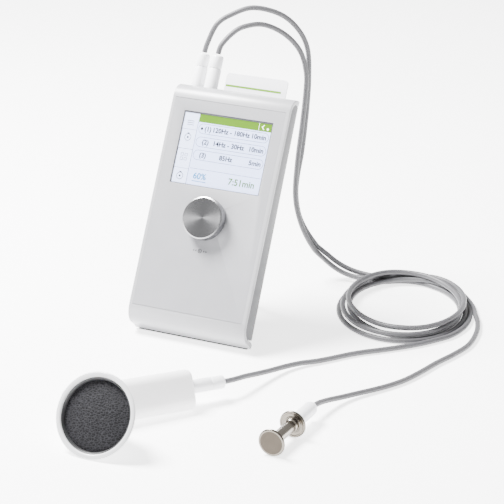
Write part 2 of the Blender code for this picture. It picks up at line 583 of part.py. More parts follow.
def make_kickstand(unit, stand):
    """A plate with a rolled hinge barrel; its far edge carries a rubber foot."""
    thick = STAND_PLATE / 2
    mesh = box_mesh("kickstand", (-STAND_HALF_WIDTH, -STAND_LENGTH + STAND_FOOT_DEPTH + GAP, -thick),
                    (STAND_HALF_WIDTH, 0.0, thick), 1.0 * MM, 2, 1)
    plate = piece("kickstand", mesh, (SHELL_GREY, 0.5, 0.0), stand)
    barrel = rod_mesh("stand_barrel", STAND_BARREL_RADIUS, -STAND_BARREL_HALF, STAND_BARREL_HALF, 20, "X")
    combine(plate, cutter("stand_barrel", barrel, stand), "UNION")
    bore = rod_mesh("stand_bore", STAND_BARREL_BORE_RADIUS, -40 * MM, 40 * MM, 16, "X")
    combine(plate, cutter("stand_bore", bore, stand))
    pin = rod_mesh("kickstand_pin", STAND_PIN_RADIUS, -STAND_PIN_HALF, STAND_PIN_HALF, 16, "X")
    piece("kickstand_pin", pin, (STEEL, 0.3, 1.0), unit, (0, STAND_S, STAND_H))
    mesh = box_mesh("stand_foot", (-STAND_HALF_WIDTH, -STAND_LENGTH, -thick),
                    (STAND_HALF_WIDTH, -STAND_LENGTH + STAND_FOOT_DEPTH, thick), 0.6 * MM, 1, 0)
    piece("stand_foot", mesh, (DARK, 0.8, 0.0), stand, smooth=None)


# ---------------------------------------------------------------- plugs and leads

def make_plug(name, parent, at, turn, lower, sunk=11.5 * MM):
    """A round plug along local Z: contact pin, grip sleeve, groove and end cap."""
    radius = PLUG_RADIUS
    pin_hole = 2.5 * MM
    sleeve = [(radius - 0.5 * MM, lower), (radius, lower - 0.5 * MM), (radius, 0.4 * MM),
              (radius - 0.4 * MM, 0), (pin_hole, 0), (pin_hole, sunk), (0, sunk)]
    turned(f"{name}_sleeve", [(0, lower)] + sleeve, (WHITE, 0.3, 0.0), parent, 24, at, turn)
    low = lower + PLUG_GROOVE
    high = low + PLUG_UPPER
    cap = [(0, high), (radius - 1.3 * MM, high), (radius - 0.4 * MM, high - 0.4 * MM),
           (radius - 0.1 * MM, high - 1.3 * MM), (radius - 0.1 * MM, low + 0.4 * MM),
           (radius - 0.5 * MM, low), (0, low)]
    turned(f"{name}_cap", cap, (WHITE, 0.3, 0.0), parent, 24, at, turn)
    pin = [(0, sunk - GAP), (2.2 * MM, sunk - GAP), (2.2 * MM, -6.2 * MM),
           (1.4 * MM, -7.2 * MM), (0, -7.2 * MM)]
    turned(f"{name}_pin", pin, (BRASS, 0.3, 1.0), parent, 16, at, turn)


def make_unit_plugs(unit):
    for side, x in zip(("left", "right"), PLUG_X):
        at = (x, SOCKET_TOP_S + 0.4 * MM, PLUG_H)
        make_plug(f"plug_{side}", unit, at, (-math.pi / 2, 0, 0), PLUG_LOWER)


def make_coil():
    """The common coil: an oval ring that encloses the turns of both leads."""
    name = "lead_coil"
    bm = bmesh.new()
    around = 40
    section = 8
    rings = []
    for i in range(around):
        angle = math.tau * i / around
        ring = []
        for j in range(section):
            turn = math.tau * (j + 0.5) / section
            out = COIL_BAND * 1.08 * math.cos(turn)
            up = COIL_HEIGHT / 2 * 1.08 * math.sin(turn)
            point = Vector(((COIL_RADII[0] + out) * math.cos(angle), (COIL_RADII[1] + out) * math.sin(angle),
                            COIL_HEIGHT / 2 + min(max(up, -COIL_HEIGHT / 2), COIL_HEIGHT / 2)))
            ring.append(bm.verts.new(point * MM))
        rings.append(ring)
    for i in range(around):
        for j in range(section):
            after = (i + 1) % around
            over = (j + 1) % section
            bm.faces.new((rings[i][j], rings[after][j], rings[after][over], rings[i][over]))
    look = (CORD_GREY, 0.55, 0.0)
    piece(name, mesh_from(bm, name), look, None, (COIL_CENTRE[0] * MM, COIL_CENTRE[1] * MM, 0.05 * MM),
          (0, 0, COIL_TURN), smooth=60.0)


def make_leads():
    look = (CORD_GREY, 0.55, 0.0)
    tube("lead_left_rise", smooth_route(LEFT_RISE, 8.5 * MM), CORD_RADIUS, look)
    tube("lead_right_rise", smooth_route(RIGHT_RISE, 8.5 * MM), CORD_RADIUS, look)
    tube("lead_left_run", smooth_route(ELECTRODE_RUN, 8.5 * MM), CORD_RADIUS, look)
    tube("lead_right_run", smooth_route(APPLICATOR_RUN, 8.5 * MM), CORD_RADIUS, look)


# ---------------------------------------------------------------- hand applicator

def handle_frame():
    """Axes of the handle: X along its width, Y out of its broad side, Z towards the plug."""
    along = Vector((math.cos(HANDLE_YAW) * math.cos(HANDLE_PITCH),
                    math.sin(HANDLE_YAW) * math.cos(HANDLE_PITCH), math.sin(HANDLE_PITCH)))
    upright = (Vector((0, 0, 1)) - along * along.z).normalized()
    aside = along.cross(upright)
    width = upright * math.cos(HANDLE_ROLL) - aside * math.sin(HANDLE_ROLL)
    out = along.cross(width)
    frame = Matrix((width, out, along)).transposed()
    return axis_empty("handle_axis", None, HANDLE_END, frame.to_euler())


def millimetres(profile):
    return [(radius * MM, height * MM) for radius, height in profile]


def make_head(head):
    turned("head_cup", millimetres(CUP_INSIDE + CUP_OUTSIDE), (WHITE, 0.4, 0.0), head, 40)
    ring = [(26.2, -3.6), (26.9, -4.2), (26.9, -6.3), (24.9, -6.3), (24.9, -4.6), (25.4, -3.8)]
    turned("membrane_ring", millimetres(ring), (PEARL, 0.5, 0.0), head, 36)
    steps = 4
    crown = [(24.5 * i / steps, -2.2 - 3.2 * (i / steps) ** 2) for i in range(steps + 1)]
    inner = [(radius, height - 1.0) for radius, height in crown[::-1]]
    turned("membrane", millimetres(crown + inner), ((0.10, 0.10, 0.11), 0.6, 0.0), head, 36)
    plate = [(0, -8.0), (22.0, -8.0), (22.0, -9.4), (0, -9.4)]
    turned("electrode_plate", millimetres(plate), (STEEL, 0.3, 1.0), head, 32)


def cup_seat(name, head):
    """The room that the cup takes, with clearance, up to well above its rim."""
    grown = [(radius + CUP_CLEARANCE, height - CUP_CLEARANCE) for radius, height in CUP_OUTSIDE[:-1]]
    base = CUP_OUTSIDE[-1][1] - CUP_CLEARANCE
    profile = [(0, 10.0), (grown[0][0], 10.0)] + grown + [(0, base)]
    return screw_round(cutter(name, profile_mesh(name, millimetres(profile)), head), 40)


def make_handle(head, handle):
    """The bar behind the head, in two moulded halves that part on the plane of its width. A short neck
    on the front half carries the cup."""
    low = (-HANDLE_WIDTH / 2, -HANDLE_THICKNESS / 2, -HANDLE_LENGTH)
    high = (HANDLE_WIDTH / 2, HANDLE_THICKNESS / 2, 0)
    wall = 2.2 * MM
    halves = (("handle_front_half", GAP / 2, 40 * MM), ("handle_rear_half", -40 * MM, -GAP / 2))
    for name, near, far in halves:
        bm = bmesh.new()
        size = [high[axis] - low[axis] for axis in range(3)]
        centre = [(high[axis] + low[axis]) / 2 for axis in range(3)]
        bmesh.ops.create_cube(bm, size=1.0, matrix=Matrix.Translation(centre) @ Matrix.Diagonal((*size, 1.0)))
        long_edges = [e for e in bm.edges if abs(e.verts[0].co.z - e.verts[1].co.z) > 0.05]
        bmesh.ops.bevel(bm, geom=long_edges, offset=HANDLE_ROUNDING, segments=4, profile=0.5, affect="EDGES")
        ends = [e for e in bm.edges if abs(e.verts[0].co.z - e.verts[1].co.z) < 1e-7]
        bmesh.ops.bevel(bm, geom=ends, offset=3.5 * MM, segments=3, profile=0.5, affect="EDGES")
        half = piece(name, mesh_from(bm, name), ((0.83, 0.82, 0.83), 0.4, 0.0), handle)
        if far > 0:
            combine(half, make_neck(head, handle), "UNION")
            combine(half, cup_seat("cup_seat", head))
        keep = box_mesh(f"{name}_side", (-40 * MM, near, -200 * MM), (40 * MM, far, 40 * MM))
        combine(half, cutter(f"{name}_side", keep, handle), "INTERSECT")
        core = box_mesh(f"{name}_core", (low[0] + wall, low[1] + wall, low[2] + 12 * MM),
                        (high[0] - wall, high[1] - wall, -8 * MM), 4.5 * MM, 2, 2)
        combine(half, cutter(f"{name}_core", core, handle))
        well = rod_mesh(f"{name}_well", SOCKET_RADIUS + GAP, -12 * MM, 10 * MM, 24)
        combine(half, cutter(f"{name}_well", well, handle))


def make_neck(head, handle):
    """A level rod from the bar's middle, NECK_PLACE back from the plug end, to the back of the cup."""
    bpy.context.view_layer.update()
    start = handle.matrix_world @ Vector((0, 0, -NECK_PLACE))
    end = head.matrix_world @ Vector((0, 0, NECK_DEPTH))
    span = end - start
    rod = cutter("handle_neck", rod_mesh("handle_neck", NECK_RADIUS, 0, span.length, 28))
    rod.location = start
    rod.rotation_euler = span.to_track_quat("Z", "Y").to_euler()
    return rod


def make_applicator_socket(handle):
    depth = -20.0 * MM
    profile = [(0, depth + 6 * MM), (2.6 * MM, depth + 6 * MM), (2.6 * MM, -5.5 * MM),
               (SOCKET_RADIUS, -5.5 * MM), (SOCKET_RADIUS, depth), (0, depth)]
    turned("applicator_socket", profile, (DARK, 0.45, 0.0), handle, 24)


# ---------------------------------------------------------------- hand electrode

def make_electrode():
    """Two rimmed discs on a stem, lying on their rims, with a white plug sleeve behind."""
    x, y = SPOOL_PLACE
    spool = axis_empty("spool_axis", None, (x, y, SPOOL_RADIUS), (-math.pi / 2, 0, 0))
    look = (STEEL, 0.3, 1.0)
    rim = 0.5 * MM
    front = [(0, SPOOL_DISC), (SPOOL_RADIUS - rim, SPOOL_DISC), (SPOOL_RADIUS, SPOOL_DISC - rim),
             (SPOOL_RADIUS, rim), (SPOOL_RADIUS - rim, 0), (0, 0)]
    turned("electrode_front_disc", front, look, spool, 40)
    rear = [(radius, height + SPOOL_LENGTH - SPOOL_DISC) for radius, height in front]
    turned("electrode_rear_disc", rear, look, spool, 40)
    low = SPOOL_DISC + GAP
    high = SPOOL_LENGTH - SPOOL_DISC - GAP
    stem = [(0, high), (5.2 * MM, high), (5.2 * MM, high - 1.6 * MM), (4.0 * MM, high - 2.2 * MM),
            (4.0 * MM, low), (0, low)]
    turned("electrode_stem", stem, look, spool, 28)
    base = SPOOL_LENGTH + GAP
    end = base + 31.0 * MM
    sleeve = [(0, end), (3.6 * MM, end), (4.8 * MM, end - 0.7 * MM), (5.3 * MM, end - 2.2 * MM),
              (5.4 * MM, base + 0.4 * MM), (5.0 * MM, base), (0, base)]
    turned("electrode_plug", sleeve, (WHITE, 0.35, 0.0), spool, 28)


# ---------------------------------------------------------------- assembly

clear_scene()
PARTS = make_collection("physiotherapy_set")
CUTTERS = make_collection("cutters")

unit_axis = axis_empty("unit_axis", None, (0, UNIT_FRAME_Y, UNIT_FRAME_Z), (math.pi / 2 - LEAN, 0, 0))
press_axis = axis_empty("knob_press_axis", unit_axis, (0, KNOB_S, 0))
turn_axis = axis_empty("knob_turn_axis", press_axis)
card_axis = axis_empty("card_slide_axis", unit_axis)
stand_axis = axis_empty("kickstand_axis", unit_axis, (0, STAND_S, STAND_H), (LEAN + STAND_SWING, 0, 0))
head_axis = axis_empty("head_axis", None, HEAD_CENTRE, (math.pi / 2 - HEAD_TILT, 0, 0))
grip_axis = handle_frame()

make_front_cover(unit_axis)
make_face_overlay(unit_axis)
make_rear_shell(unit_axis)
make_case_screws(unit_axis)
make_battery_door(unit_axis)
make_foot_strip()
make_display(unit_axis)
make_boards(unit_axis)
make_encoder(unit_axis, press_axis, turn_axis)
make_card(unit_axis, card_axis)
make_output_sockets(unit_axis)
make_kickstand(unit_axis, stand_axis)
make_unit_plugs(unit_axis)
make_coil()
make_leads()
make_head(head_axis)
make_handle(head_axis, grip_axis)
make_applicator_socket(grip_axis)
make_plug("applicator_plug", grip_axis, (0, 0, -5.0 * MM), (0, 0, 0), HANDLE_PLUG_LOWER)
make_electrode()
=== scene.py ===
"""Looks of the portable physiotherapy set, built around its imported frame.

The control unit's own frame runs x across its width, y up its face and z out of the face, with the
origin under the knob. The applicator's head and handle, the plugs and the electrode have frames of
their own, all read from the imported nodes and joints.
"""

import json
import math

import bmesh
import bpy
import numpy as np
from mathutils import Matrix, Vector, noise
from mathutils.geometry import interpolate_bezier


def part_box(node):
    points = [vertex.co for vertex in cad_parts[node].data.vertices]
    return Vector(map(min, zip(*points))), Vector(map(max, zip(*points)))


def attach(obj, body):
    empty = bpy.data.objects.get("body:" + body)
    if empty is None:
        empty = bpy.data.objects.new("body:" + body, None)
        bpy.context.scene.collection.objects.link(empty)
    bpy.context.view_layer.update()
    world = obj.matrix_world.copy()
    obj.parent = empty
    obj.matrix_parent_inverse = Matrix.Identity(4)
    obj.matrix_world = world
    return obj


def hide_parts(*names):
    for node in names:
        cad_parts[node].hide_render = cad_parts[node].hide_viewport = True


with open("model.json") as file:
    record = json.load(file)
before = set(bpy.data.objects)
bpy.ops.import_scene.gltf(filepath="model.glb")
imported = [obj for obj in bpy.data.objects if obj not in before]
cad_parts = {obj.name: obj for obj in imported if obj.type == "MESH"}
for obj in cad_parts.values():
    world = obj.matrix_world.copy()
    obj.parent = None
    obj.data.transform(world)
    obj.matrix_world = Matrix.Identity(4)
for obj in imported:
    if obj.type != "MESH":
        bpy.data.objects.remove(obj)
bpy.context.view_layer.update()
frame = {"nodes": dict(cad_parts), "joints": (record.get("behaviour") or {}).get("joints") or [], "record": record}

MM = 0.001
ROOT = "unit_and_leads"
NODES = frame["nodes"]
JOINTS = {joint["name"]: joint for joint in frame["joints"]}
FACE_UP = Vector(JOINTS["card_slide"]["axis"]).normalized()
FACE_OUT = Vector(JOINTS["knob_turn"]["axis"]).normalized()
KNOB_FOOT = Vector(JOINTS["knob_turn"]["pos_m"])


def frame_matrix(origin, x, y, z):
    """A frame from its origin and three unit axes."""
    return Matrix.Translation(origin) @ Matrix((x, y, z)).transposed().to_4x4()


def centre(node):
    low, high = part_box(node)
    return (low + high) / 2


def local_box(node, matrix):
    """The lowest and highest corner of a node in another frame."""
    inverse = matrix.inverted()
    points = np.array([inverse @ vertex.co for vertex in NODES[node].data.vertices])
    return Vector(points.min(0)), Vector(points.max(0))


def axis_frame(origin, z, hint=Vector((0, 0, 1))):
    """A frame whose z runs along an axis, with y as near to the hint as it can be."""
    z = z.normalized()
    x = hint.cross(z).normalized()
    return frame_matrix(origin, x, z.cross(x), z)


UNIT = frame_matrix(KNOB_FOOT, Vector((1, 0, 0)), FACE_UP, FACE_OUT)


# ---------------------------------------------------------------- camera

CAMERA_LENS = 164.16
CAMERA_PLACE = (0.78274, -1.46873, 0.70513)
CAMERA_ELEVATION = 20.829
CAMERA_AZIMUTH = 26.482


def make_camera():
    data = bpy.data.cameras.new("camera")
    data.lens = CAMERA_LENS
    data.sensor_width = 36.0
    camera = bpy.data.objects.new("camera", data)
    camera.location = CAMERA_PLACE
    camera.rotation_euler = (math.radians(90 - CAMERA_ELEVATION), 0, math.radians(CAMERA_AZIMUTH))
    bpy.context.scene.collection.objects.link(camera)
    bpy.context.scene.camera = camera


make_camera()


# ---------------------------------------------------------------- materials

class Look:
    """One procedural material: a Principled shader with colour, roughness and relief from nodes."""

    def __init__(self, name, roughness=0.5, metallic=0.0, **sockets):
        self.material = bpy.data.materials.new(name)
        self.material.use_nodes = True
        self.nodes = self.material.node_tree.nodes
        self.shader = self.nodes["Principled BSDF"]
        self.shader.inputs["Roughness"].default_value = roughness
        self.shader.inputs["Metallic"].default_value = metallic
        for socket, value in sockets.items():
            self.shader.inputs[socket.replace("_", " ")].default_value = value
        self.place = self.nodes.new("ShaderNodeTexCoord").outputs["Object"]

    def link(self, output, socket):
        self.material.node_tree.links.new(output, socket)

    def stretched(self, scale):
        """Object coordinates stretched along the axes."""
        node = self.nodes.new("ShaderNodeMapping")
        node.inputs["Scale"].default_value = scale
        self.link(self.place, node.inputs["Vector"])
        return node.outputs["Vector"]

    def noise(self, scale, detail=3.0, roughness=0.55, vector=None):
        node = self.nodes.new("ShaderNodeTexNoise")
        node.inputs["Scale"].default_value = scale
        node.inputs["Detail"].default_value = detail
        node.inputs["Roughness"].default_value = roughness
        self.link(vector or self.place, node.inputs["Vector"])
        return node.outputs["Fac"]

    def cells(self, scale, feature="F1", vector=None):
        node = self.nodes.new("ShaderNodeTexVoronoi")
        node.feature = feature
        node.inputs["Scale"].default_value = scale
        self.link(vector or self.place, node.inputs["Vector"])
        return node.outputs["Distance"]

    def rings(self, scale, distortion=0.0, direction="Z"):
        """Concentric lines around an axis."""
        node = self.nodes.new("ShaderNodeTexWave")
        node.wave_type = "RINGS"
        node.rings_direction = direction
        node.inputs["Scale"].default_value = scale
        node.inputs["Distortion"].default_value = distortion
        self.link(self.place, node.inputs["Vector"])
        return node.outputs["Fac"]

    def blend(self, fac, low, high, start=0.3, end=0.7):
        """A colour ramp between two colours."""
        node = self.nodes.new("ShaderNodeValToRGB")
        node.color_ramp.elements[0].position = start
        node.color_ramp.elements[1].position = end
        node.color_ramp.elements[0].color = (*low, 1)
        node.color_ramp.elements[1].color = (*high, 1)
        self.link(fac, node.inputs["Fac"])
        return node.outputs["Color"]

    def colour(self, fac, low, high, start=0.3, end=0.7):
        self.link(self.blend(fac, low, high, start, end), self.shader.inputs["Base Color"])
        return self

    def gloss(self, fac, low, high):
        node = self.nodes.new("ShaderNodeMapRange")
        node.inputs["To Min"].default_value = low
        node.inputs["To Max"].default_value = high
        self.link(fac, node.inputs["Value"])
        self.link(node.outputs["Result"], self.shader.inputs["Roughness"])
        return self

    def relief(self, fac, distance, strength=1.0):
        """Height in metres. Each further call adds its relief on top of the one before."""
        node = self.nodes.new("ShaderNodeBump")
        node.inputs["Distance"].default_value = distance
        node.inputs["Strength"].default_value = strength
        self.link(fac, node.inputs["Height"])
        if self.shader.inputs["Normal"].is_linked:
            self.link(self.shader.inputs["Normal"].links[0].from_socket, node.inputs["Normal"])
        self.link(node.outputs["Normal"], self.shader.inputs["Normal"])
        return self


def tone(colour, share):
    return tuple(min(1.0, value * share) for value in colour)


def moulded(name, colour, roughness, grain=1400.0, depth=0.00002, spread=0.03, **sockets):
    """Moulded plastic: faint cloudiness in the colour, fine erosion grain, uneven gloss."""
    look = Look(name, roughness, **sockets)
    cloud = look.noise(45.0, 4.0)
    look.colour(cloud, tone(colour, 1 - spread), tone(colour, 1 + spread))
    look.gloss(look.noise(160.0, 3.0), roughness - 0.05, roughness + 0.05)
    look.relief(look.noise(grain, 2.0), depth, 0.6)
    return look.material


def metal(name, colour, roughness, line=0.0, spread=0.06, **sockets):
    """Metal with cloudy tone; line is the number of turned lines a metre."""
    look = Look(name, roughness, 1.0, **sockets)
    look.colour(look.noise(120.0, 4.0), tone(colour, 1 - spread), tone(colour, 1 + spread))
    look.gloss(look.noise(420.0, 3.0), roughness - 0.05, roughness + 0.06)
    if line:
        look.relief(look.rings(line, 0.4), 0.000006, 0.5)
    return look.material


PEARL = (0.32, 0.32, 0.333)
FILM = (0.26, 0.26, 0.274)
SHELL = (0.085, 0.085, 0.09)
IVORY = (0.93, 0.92, 0.925)
PLUG_WHITE = (0.86, 0.86, 0.88)
CORD = (0.082, 0.081, 0.087)
RUBBER_AND_SHADOW_BLACK = (0.03, 0.03, 0.032)


def cord_look():
    """Soft jacket with a dry bloom, fine pits and faint scuffs."""
    look = Look("cord_jacket", 0.46, Sheen_Weight=0.15, Sheen_Roughness=0.4)
    look.colour(look.noise(70.0, 4.0), tone(CORD, 0.95), tone(CORD, 1.06))
    look.gloss(look.noise(300.0, 2.0), 0.44, 0.54)
    look.relief(look.noise(1800.0, 2.0), 0.000012, 0.3)
    return look.material


def membrane_look():
    """Thin dark film with the crossed wrinkles of fine leather: the wrinkles in relief, and a painted highlight
    along them, where the colour is lighter.
    """
    look = Look("membrane_film", 0.62, Specular_IOR_Level=0.12)
    creases_and_highlight = look.cells(400.0, "DISTANCE_TO_EDGE", look.stretched((1.0, 1.7, 1.0)))
    # Painted highlight: the wrinkle lines are painted lighter than the rest of the film.
    look.colour(creases_and_highlight, (0.021, 0.0205, 0.0235), (0.0035, 0.0035, 0.0044), 0.0, 0.13)
    look.gloss(look.noise(900.0, 3.0), 0.56, 0.68)
    look.relief(creases_and_highlight, 0.0005, 1.0)
    look.relief(look.noise(1500.0, 2.0), 0.00006, 0.5)
    return look.material


def turned_metal(name, colour, roughness):
    """A face finished on the lathe: fine rings, and a sheen that runs round the axis."""
    look = Look(name, roughness, 1.0, Anisotropic=0.75)
    tangent = look.nodes.new("ShaderNodeTangent")
    tangent.direction_type = "RADIAL"
    tangent.axis = "Z"
    look.link(tangent.outputs["Tangent"], look.shader.inputs["Tangent"])
    look.colour(look.rings(500.0, 0.2), tone(colour, 0.95), tone(colour, 1.04))
    look.gloss(look.noise(120.0, 2.0), roughness - 0.03, roughness + 0.03)
    look.relief(look.rings(700.0), 0.000002, 0.2)
    return look.material


def lit(name, colour, glow):
    """A tone on the lit screen, with the fine unevenness of its backlight."""
    look = Look(name, 0.28, Emission_Strength=glow)
    output = look.blend(look.noise(90.0, 2.0), tone(colour, 0.97), tone(colour, 1.02))
    look.link(output, look.shader.inputs["Base Color"])
    look.link(output, look.shader.inputs["Emission Color"])
    return look.material


def board_look():
    """Solder resist over a grid of tracks."""
    look = Look("board_resist", 0.4)
    tracks = look.cells(420.0, "DISTANCE_TO_EDGE", look.stretched((1.0, 1.0, 0.4)))
    look.colour(tracks, (0.02, 0.12, 0.05), (0.05, 0.25, 0.12), 0.02, 0.12)
    look.relief(tracks, 0.00005, 0.4)
    return look.material


MATERIALS = {
    "cover_pearl": moulded("pearl_moulding", PEARL, 0.36, Coat_Weight=0.15, Coat_Roughness=0.2),
    "face_film": moulded("printed_film", FILM, 0.42, 2600.0, 0.000015),
    "shell_grey": moulded("shell_moulding", SHELL, 0.5, 1800.0, 0.00006),
    # Black rubber; on the foot strip it is also painted contact shadow under the unit's toe.
    "rubber_black": moulded("black_rubber_and_contact_shadow", RUBBER_AND_SHADOW_BLACK, 0.75, 1500.0, 0.00006, 0.1),
    "display_pane": lit("screen_base", (0.50, 0.58, 0.86), 0.35),
    "display_frame": metal("frame_sheet", (0.5, 0.5, 0.52), 0.4),
    "board_green": board_look(),
    "module_black": moulded("module_case", (0.05, 0.05, 0.06), 0.55, 900.0, 0.00005, 0.08),
    "battery_wrap": moulded("battery_sleeve", (0.12, 0.20, 0.45), 0.35, 300.0, 0.00008, 0.08),
    "connector_black": moulded("connector_case", (0.04, 0.04, 0.045), 0.4, 1200.0, 0.00004, 0.08),
    "steel": metal("plain_steel", (0.62, 0.60, 0.57), 0.3),
    "brass": metal("gold_contact", (0.75, 0.58, 0.27), 0.25),
    "knob_metal": turned_metal("knob_aluminium", (0.27, 0.27, 0.278), 0.26),
    "card_white": moulded("card_laminate", (0.80, 0.80, 0.83), 0.3, 3000.0, 0.00001, 0.015),
    "plug_white": moulded("plug_moulding", PLUG_WHITE, 0.3, 1200.0, 0.00001, 0.015, Coat_Weight=0.2),
    "cord_grey": cord_look(),
    "applicator_white": moulded("applicator_moulding", IVORY, 0.36, 1000.0, 0.00002, 0.02),
    "ring_grey": moulded("ring_moulding", (0.018, 0.018, 0.019), 0.4, 1200.0, 0.00002),
    "membrane_grey": membrane_look(),
    "electrode_metal": metal("electrode_plating", (0.27, 0.245, 0.21), 0.24, 500.0),
}


def dress_packed_nodes():
    """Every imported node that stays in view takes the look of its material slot."""
    for subpart in frame["record"]["subparts"]:
        mesh = NODES[subpart["node"]].data
        mesh.materials.clear()
        mesh.materials.append(MATERIALS[subpart["material_slot"]])


dress_packed_nodes()


# ---------------------------------------------------------------- pieces

def show(name, data, slot, body=ROOT, matrix=None, replaces=(), smooth=35.0, look=None):
    """Puts a piece in the scene on its body, with its slot's material."""
    made = bpy.data.objects.new(name, data)
    bpy.context.scene.collection.objects.link(made)
    if matrix is not None:
        made.matrix_world = matrix
    if not data.materials:
        data.materials.append(look or MATERIALS[slot])
    if smooth and isinstance(data, bpy.types.Mesh):
        data.shade_smooth()
        data.set_sharp_from_angle(angle=math.radians(smooth))
    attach(made, body)
    if replaces:
        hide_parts(*replaces)
    return made


def mesh_from(bm, name):
    mesh = bpy.data.meshes.new(name)
    bmesh.ops.recalc_face_normals(bm, faces=bm.faces)
    bm.to_mesh(mesh)
    bm.free()
    return mesh


def lathe(name, profile, steps=72):
    """A body turned around z. The profile runs from the axis to the axis, or closes on itself."""
    bm = bmesh.new()
    closed = profile[0][0] > 0
    columns = []
    for radius, height in profile:
        if radius <= 0:
            columns.append([bm.verts.new((0, 0, height * MM))] * steps)
            continue
        column = []
        for i in range(steps):
            angle = math.tau * i / steps
            column.append(bm.verts.new((radius * MM * math.cos(angle), radius * MM * math.sin(angle),
                                        height * MM)))
        columns.append(column)
    pairs = list(zip(columns, columns[1:]))
    if closed:
        pairs.append((columns[-1], columns[0]))
    for near, far in pairs:
        for i in range(steps):
            j = (i + 1) % steps
            corners = list(dict.fromkeys((near[i], near[j], far[j], far[i])))
            if len(corners) > 2:
                bm.faces.new(corners)
    return mesh_from(bm, name)


def rounded(corners, radius, steps=4):
    """A profile with every inner corner rounded; corners are (radius, height) in millimetres."""
    points = [corners[0]]
    for before, corner, after in zip(corners, corners[1:], corners[2:]):
        start, middle, end = Vector(before), Vector(corner), Vector(after)
        room = min((start - middle).length, (end - middle).length) * 0.45
        cut = min(radius, room)
        first = middle + (start - middle).normalized() * cut
        last = middle + (end - middle).normalized() * cut
        for i in range(steps + 1):
            share = i / steps
            curve = first.lerp(middle, share).lerp(middle.lerp(last, share), share)
            points.append((curve.x, curve.y))
    points.append(corners[-1])
    return points


MERGE_DISTANCE = 0.01 * MM
FLAT_ANGLE = math.radians(0.2)


def refined_mesh(node, width, segments=2, angle=28.0):
    """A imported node's own mesh with its flat faces made whole and its edges rounded off."""
    bm = bmesh.new()
    bm.from_mesh(NODES[node].data)
    bmesh.ops.remove_doubles(bm, verts=bm.verts, dist=MERGE_DISTANCE)
    bmesh.ops.dissolve_limit(bm, angle_limit=FLAT_ANGLE, verts=bm.verts, edges=bm.edges)
    sharp = [edge for edge in bm.edges if len(edge.link_faces) == 2
             and edge.calc_face_angle(0) > math.radians(angle)]
    bmesh.ops.bevel(bm, geom=sharp, offset=width * MM, segments=segments, profile=0.6,
                    affect="EDGES", clamp_overlap=True)
    return mesh_from(bm, f"{node}_fine")


def refine(node, slot, width=0.3, body=ROOT, segments=2, smooth=40.0):
    fine = refined_mesh(node, width, segments)
    return show(f"{node}_fine", fine, slot, body, None, (node,), smooth)


# ---------------------------------------------------------------- leads

CORD_RADIUS = 2.1 * MM
COIL_CENTRE = (127.0, 122.5)
COIL_TURN = math.radians(24.5)
COIL_RADII = (47.0, 62.0)

LEFT_RISE = (
    (-38.6, 95.25, 203.4), (-36.6, 97.3, 211.5), (-30.8, 102.0, 225.7), (-22.9, 110.5, 232.1),
    (-9.3, 122.3, 236.8), (7.5, 136.2, 230.6), (18.3, 146.6, 217.8), (24.6, 153.2, 200.0),
    (25.4, 154.8, 175.4), (24.4, 153.8, 149.4), (21.6, 151.4, 114.4), (18.6, 148.9, 91.2),
    (17.8, 148.2, 75.2), (20.0, 150.2, 56.7), (26.0, 155.5, 39.7), (35.2, 163.2, 22.8),
    (44.4, 170.0, 11.4), (54.0, 172.6, 6.4))
RIGHT_RISE = (
    (-26.4, 95.25, 203.4), (-25.0, 98.0, 210.2), (-18.8, 106.0, 218.9), (-12.2, 113.0, 223.2),
    (-0.6, 124.0, 223.6), (12.2, 135.9, 214.6), (21.6, 145.4, 199.5), (25.4, 149.4, 181.0),
    (25.2, 149.2, 163.0), (23.0, 147.0, 134.0), (20.6, 144.4, 106.0), (19.4, 143.1, 78.0),
    (21.8, 145.6, 57.0), (27.2, 151.4, 37.0), (35.2, 159.8, 19.0), (43.6, 166.4, 7.4),
    (52.0, 167.6, 3.1))
ELECTRODE_RUN = (
    (170.4, 159.0, 2.2), (178.5, 148.0, 2.2), (187.2, 130.6, 2.2), (196.2, 106.0, 2.2),
    (200.2, 79.0, 2.2), (197.0, 56.5, 2.2), (191.4, 35.5, 2.2), (187.0, 13.6, 2.2),
    (182.0, -5.7, 2.2), (175.3, -20.8, 2.3), (168.0, -33.6, 2.55), (160.6, -46.0, 3.1),
    (154.4, -60.0, 4.6), (150.4, -73.8, 7.2), (148.2, -86.0, 9.4), (147.4, -95.9, 10.2))
APPLICATOR_RUN = (
    (166.6, 59.8, 2.2), (158.0, 53.6, 2.2), (148.0, 42.8, 2.2), (134.6, 30.6, 2.2),
    (124.8, 19.6, 2.2), (116.3, 7.6, 2.3), (107.9, -3.4, 2.4), (99.2, -14.0, 3.1),
    (92.4, -27.4, 4.2), (88.0, -42.0, 6.0), (84.4, -57.0, 8.6), (81.2, -71.0, 11.4),
    (78.9, -81.0, 12.9), (76.2, -87.6, 13.5), (73.48, -91.44, 13.67))

# Lanes in the pile: share of the sweep, distance out from the oval and height, both in millimetres
LEFT_LANES = (
    (0.0, 3.0, 7.0), (0.08, 1.0, 11.0), (0.25, -2.5, 12.8), (0.45, 2.0, 11.0), (0.60, -1.5, 9.6),
    (0.75, 3.0, 8.6), (0.88, 1.5, 9.2), (0.95, 4.6, 6.0), (1.0, 6.4, 2.4))
RIGHT_LANES = (
    (0.0, 4.0, 2.4), (0.07, -1.0, 3.0), (0.28, -3.4, 6.2), (0.45, 1.4, 6.4), (0.62, 3.2, 3.8),
    (0.80, 4.6, 2.0), (0.93, 5.4, 1.9), (1.0, 7.0, 1.9))
LEFT_SWEEP = (math.radians(108), math.radians(108 - 810))
RIGHT_SWEEP = (math.radians(122), math.radians(122 - 900))
STRETCH_POINTS = 60
STRETCHES_A_TURN = 1.6
BEZIER_POINTS = 24


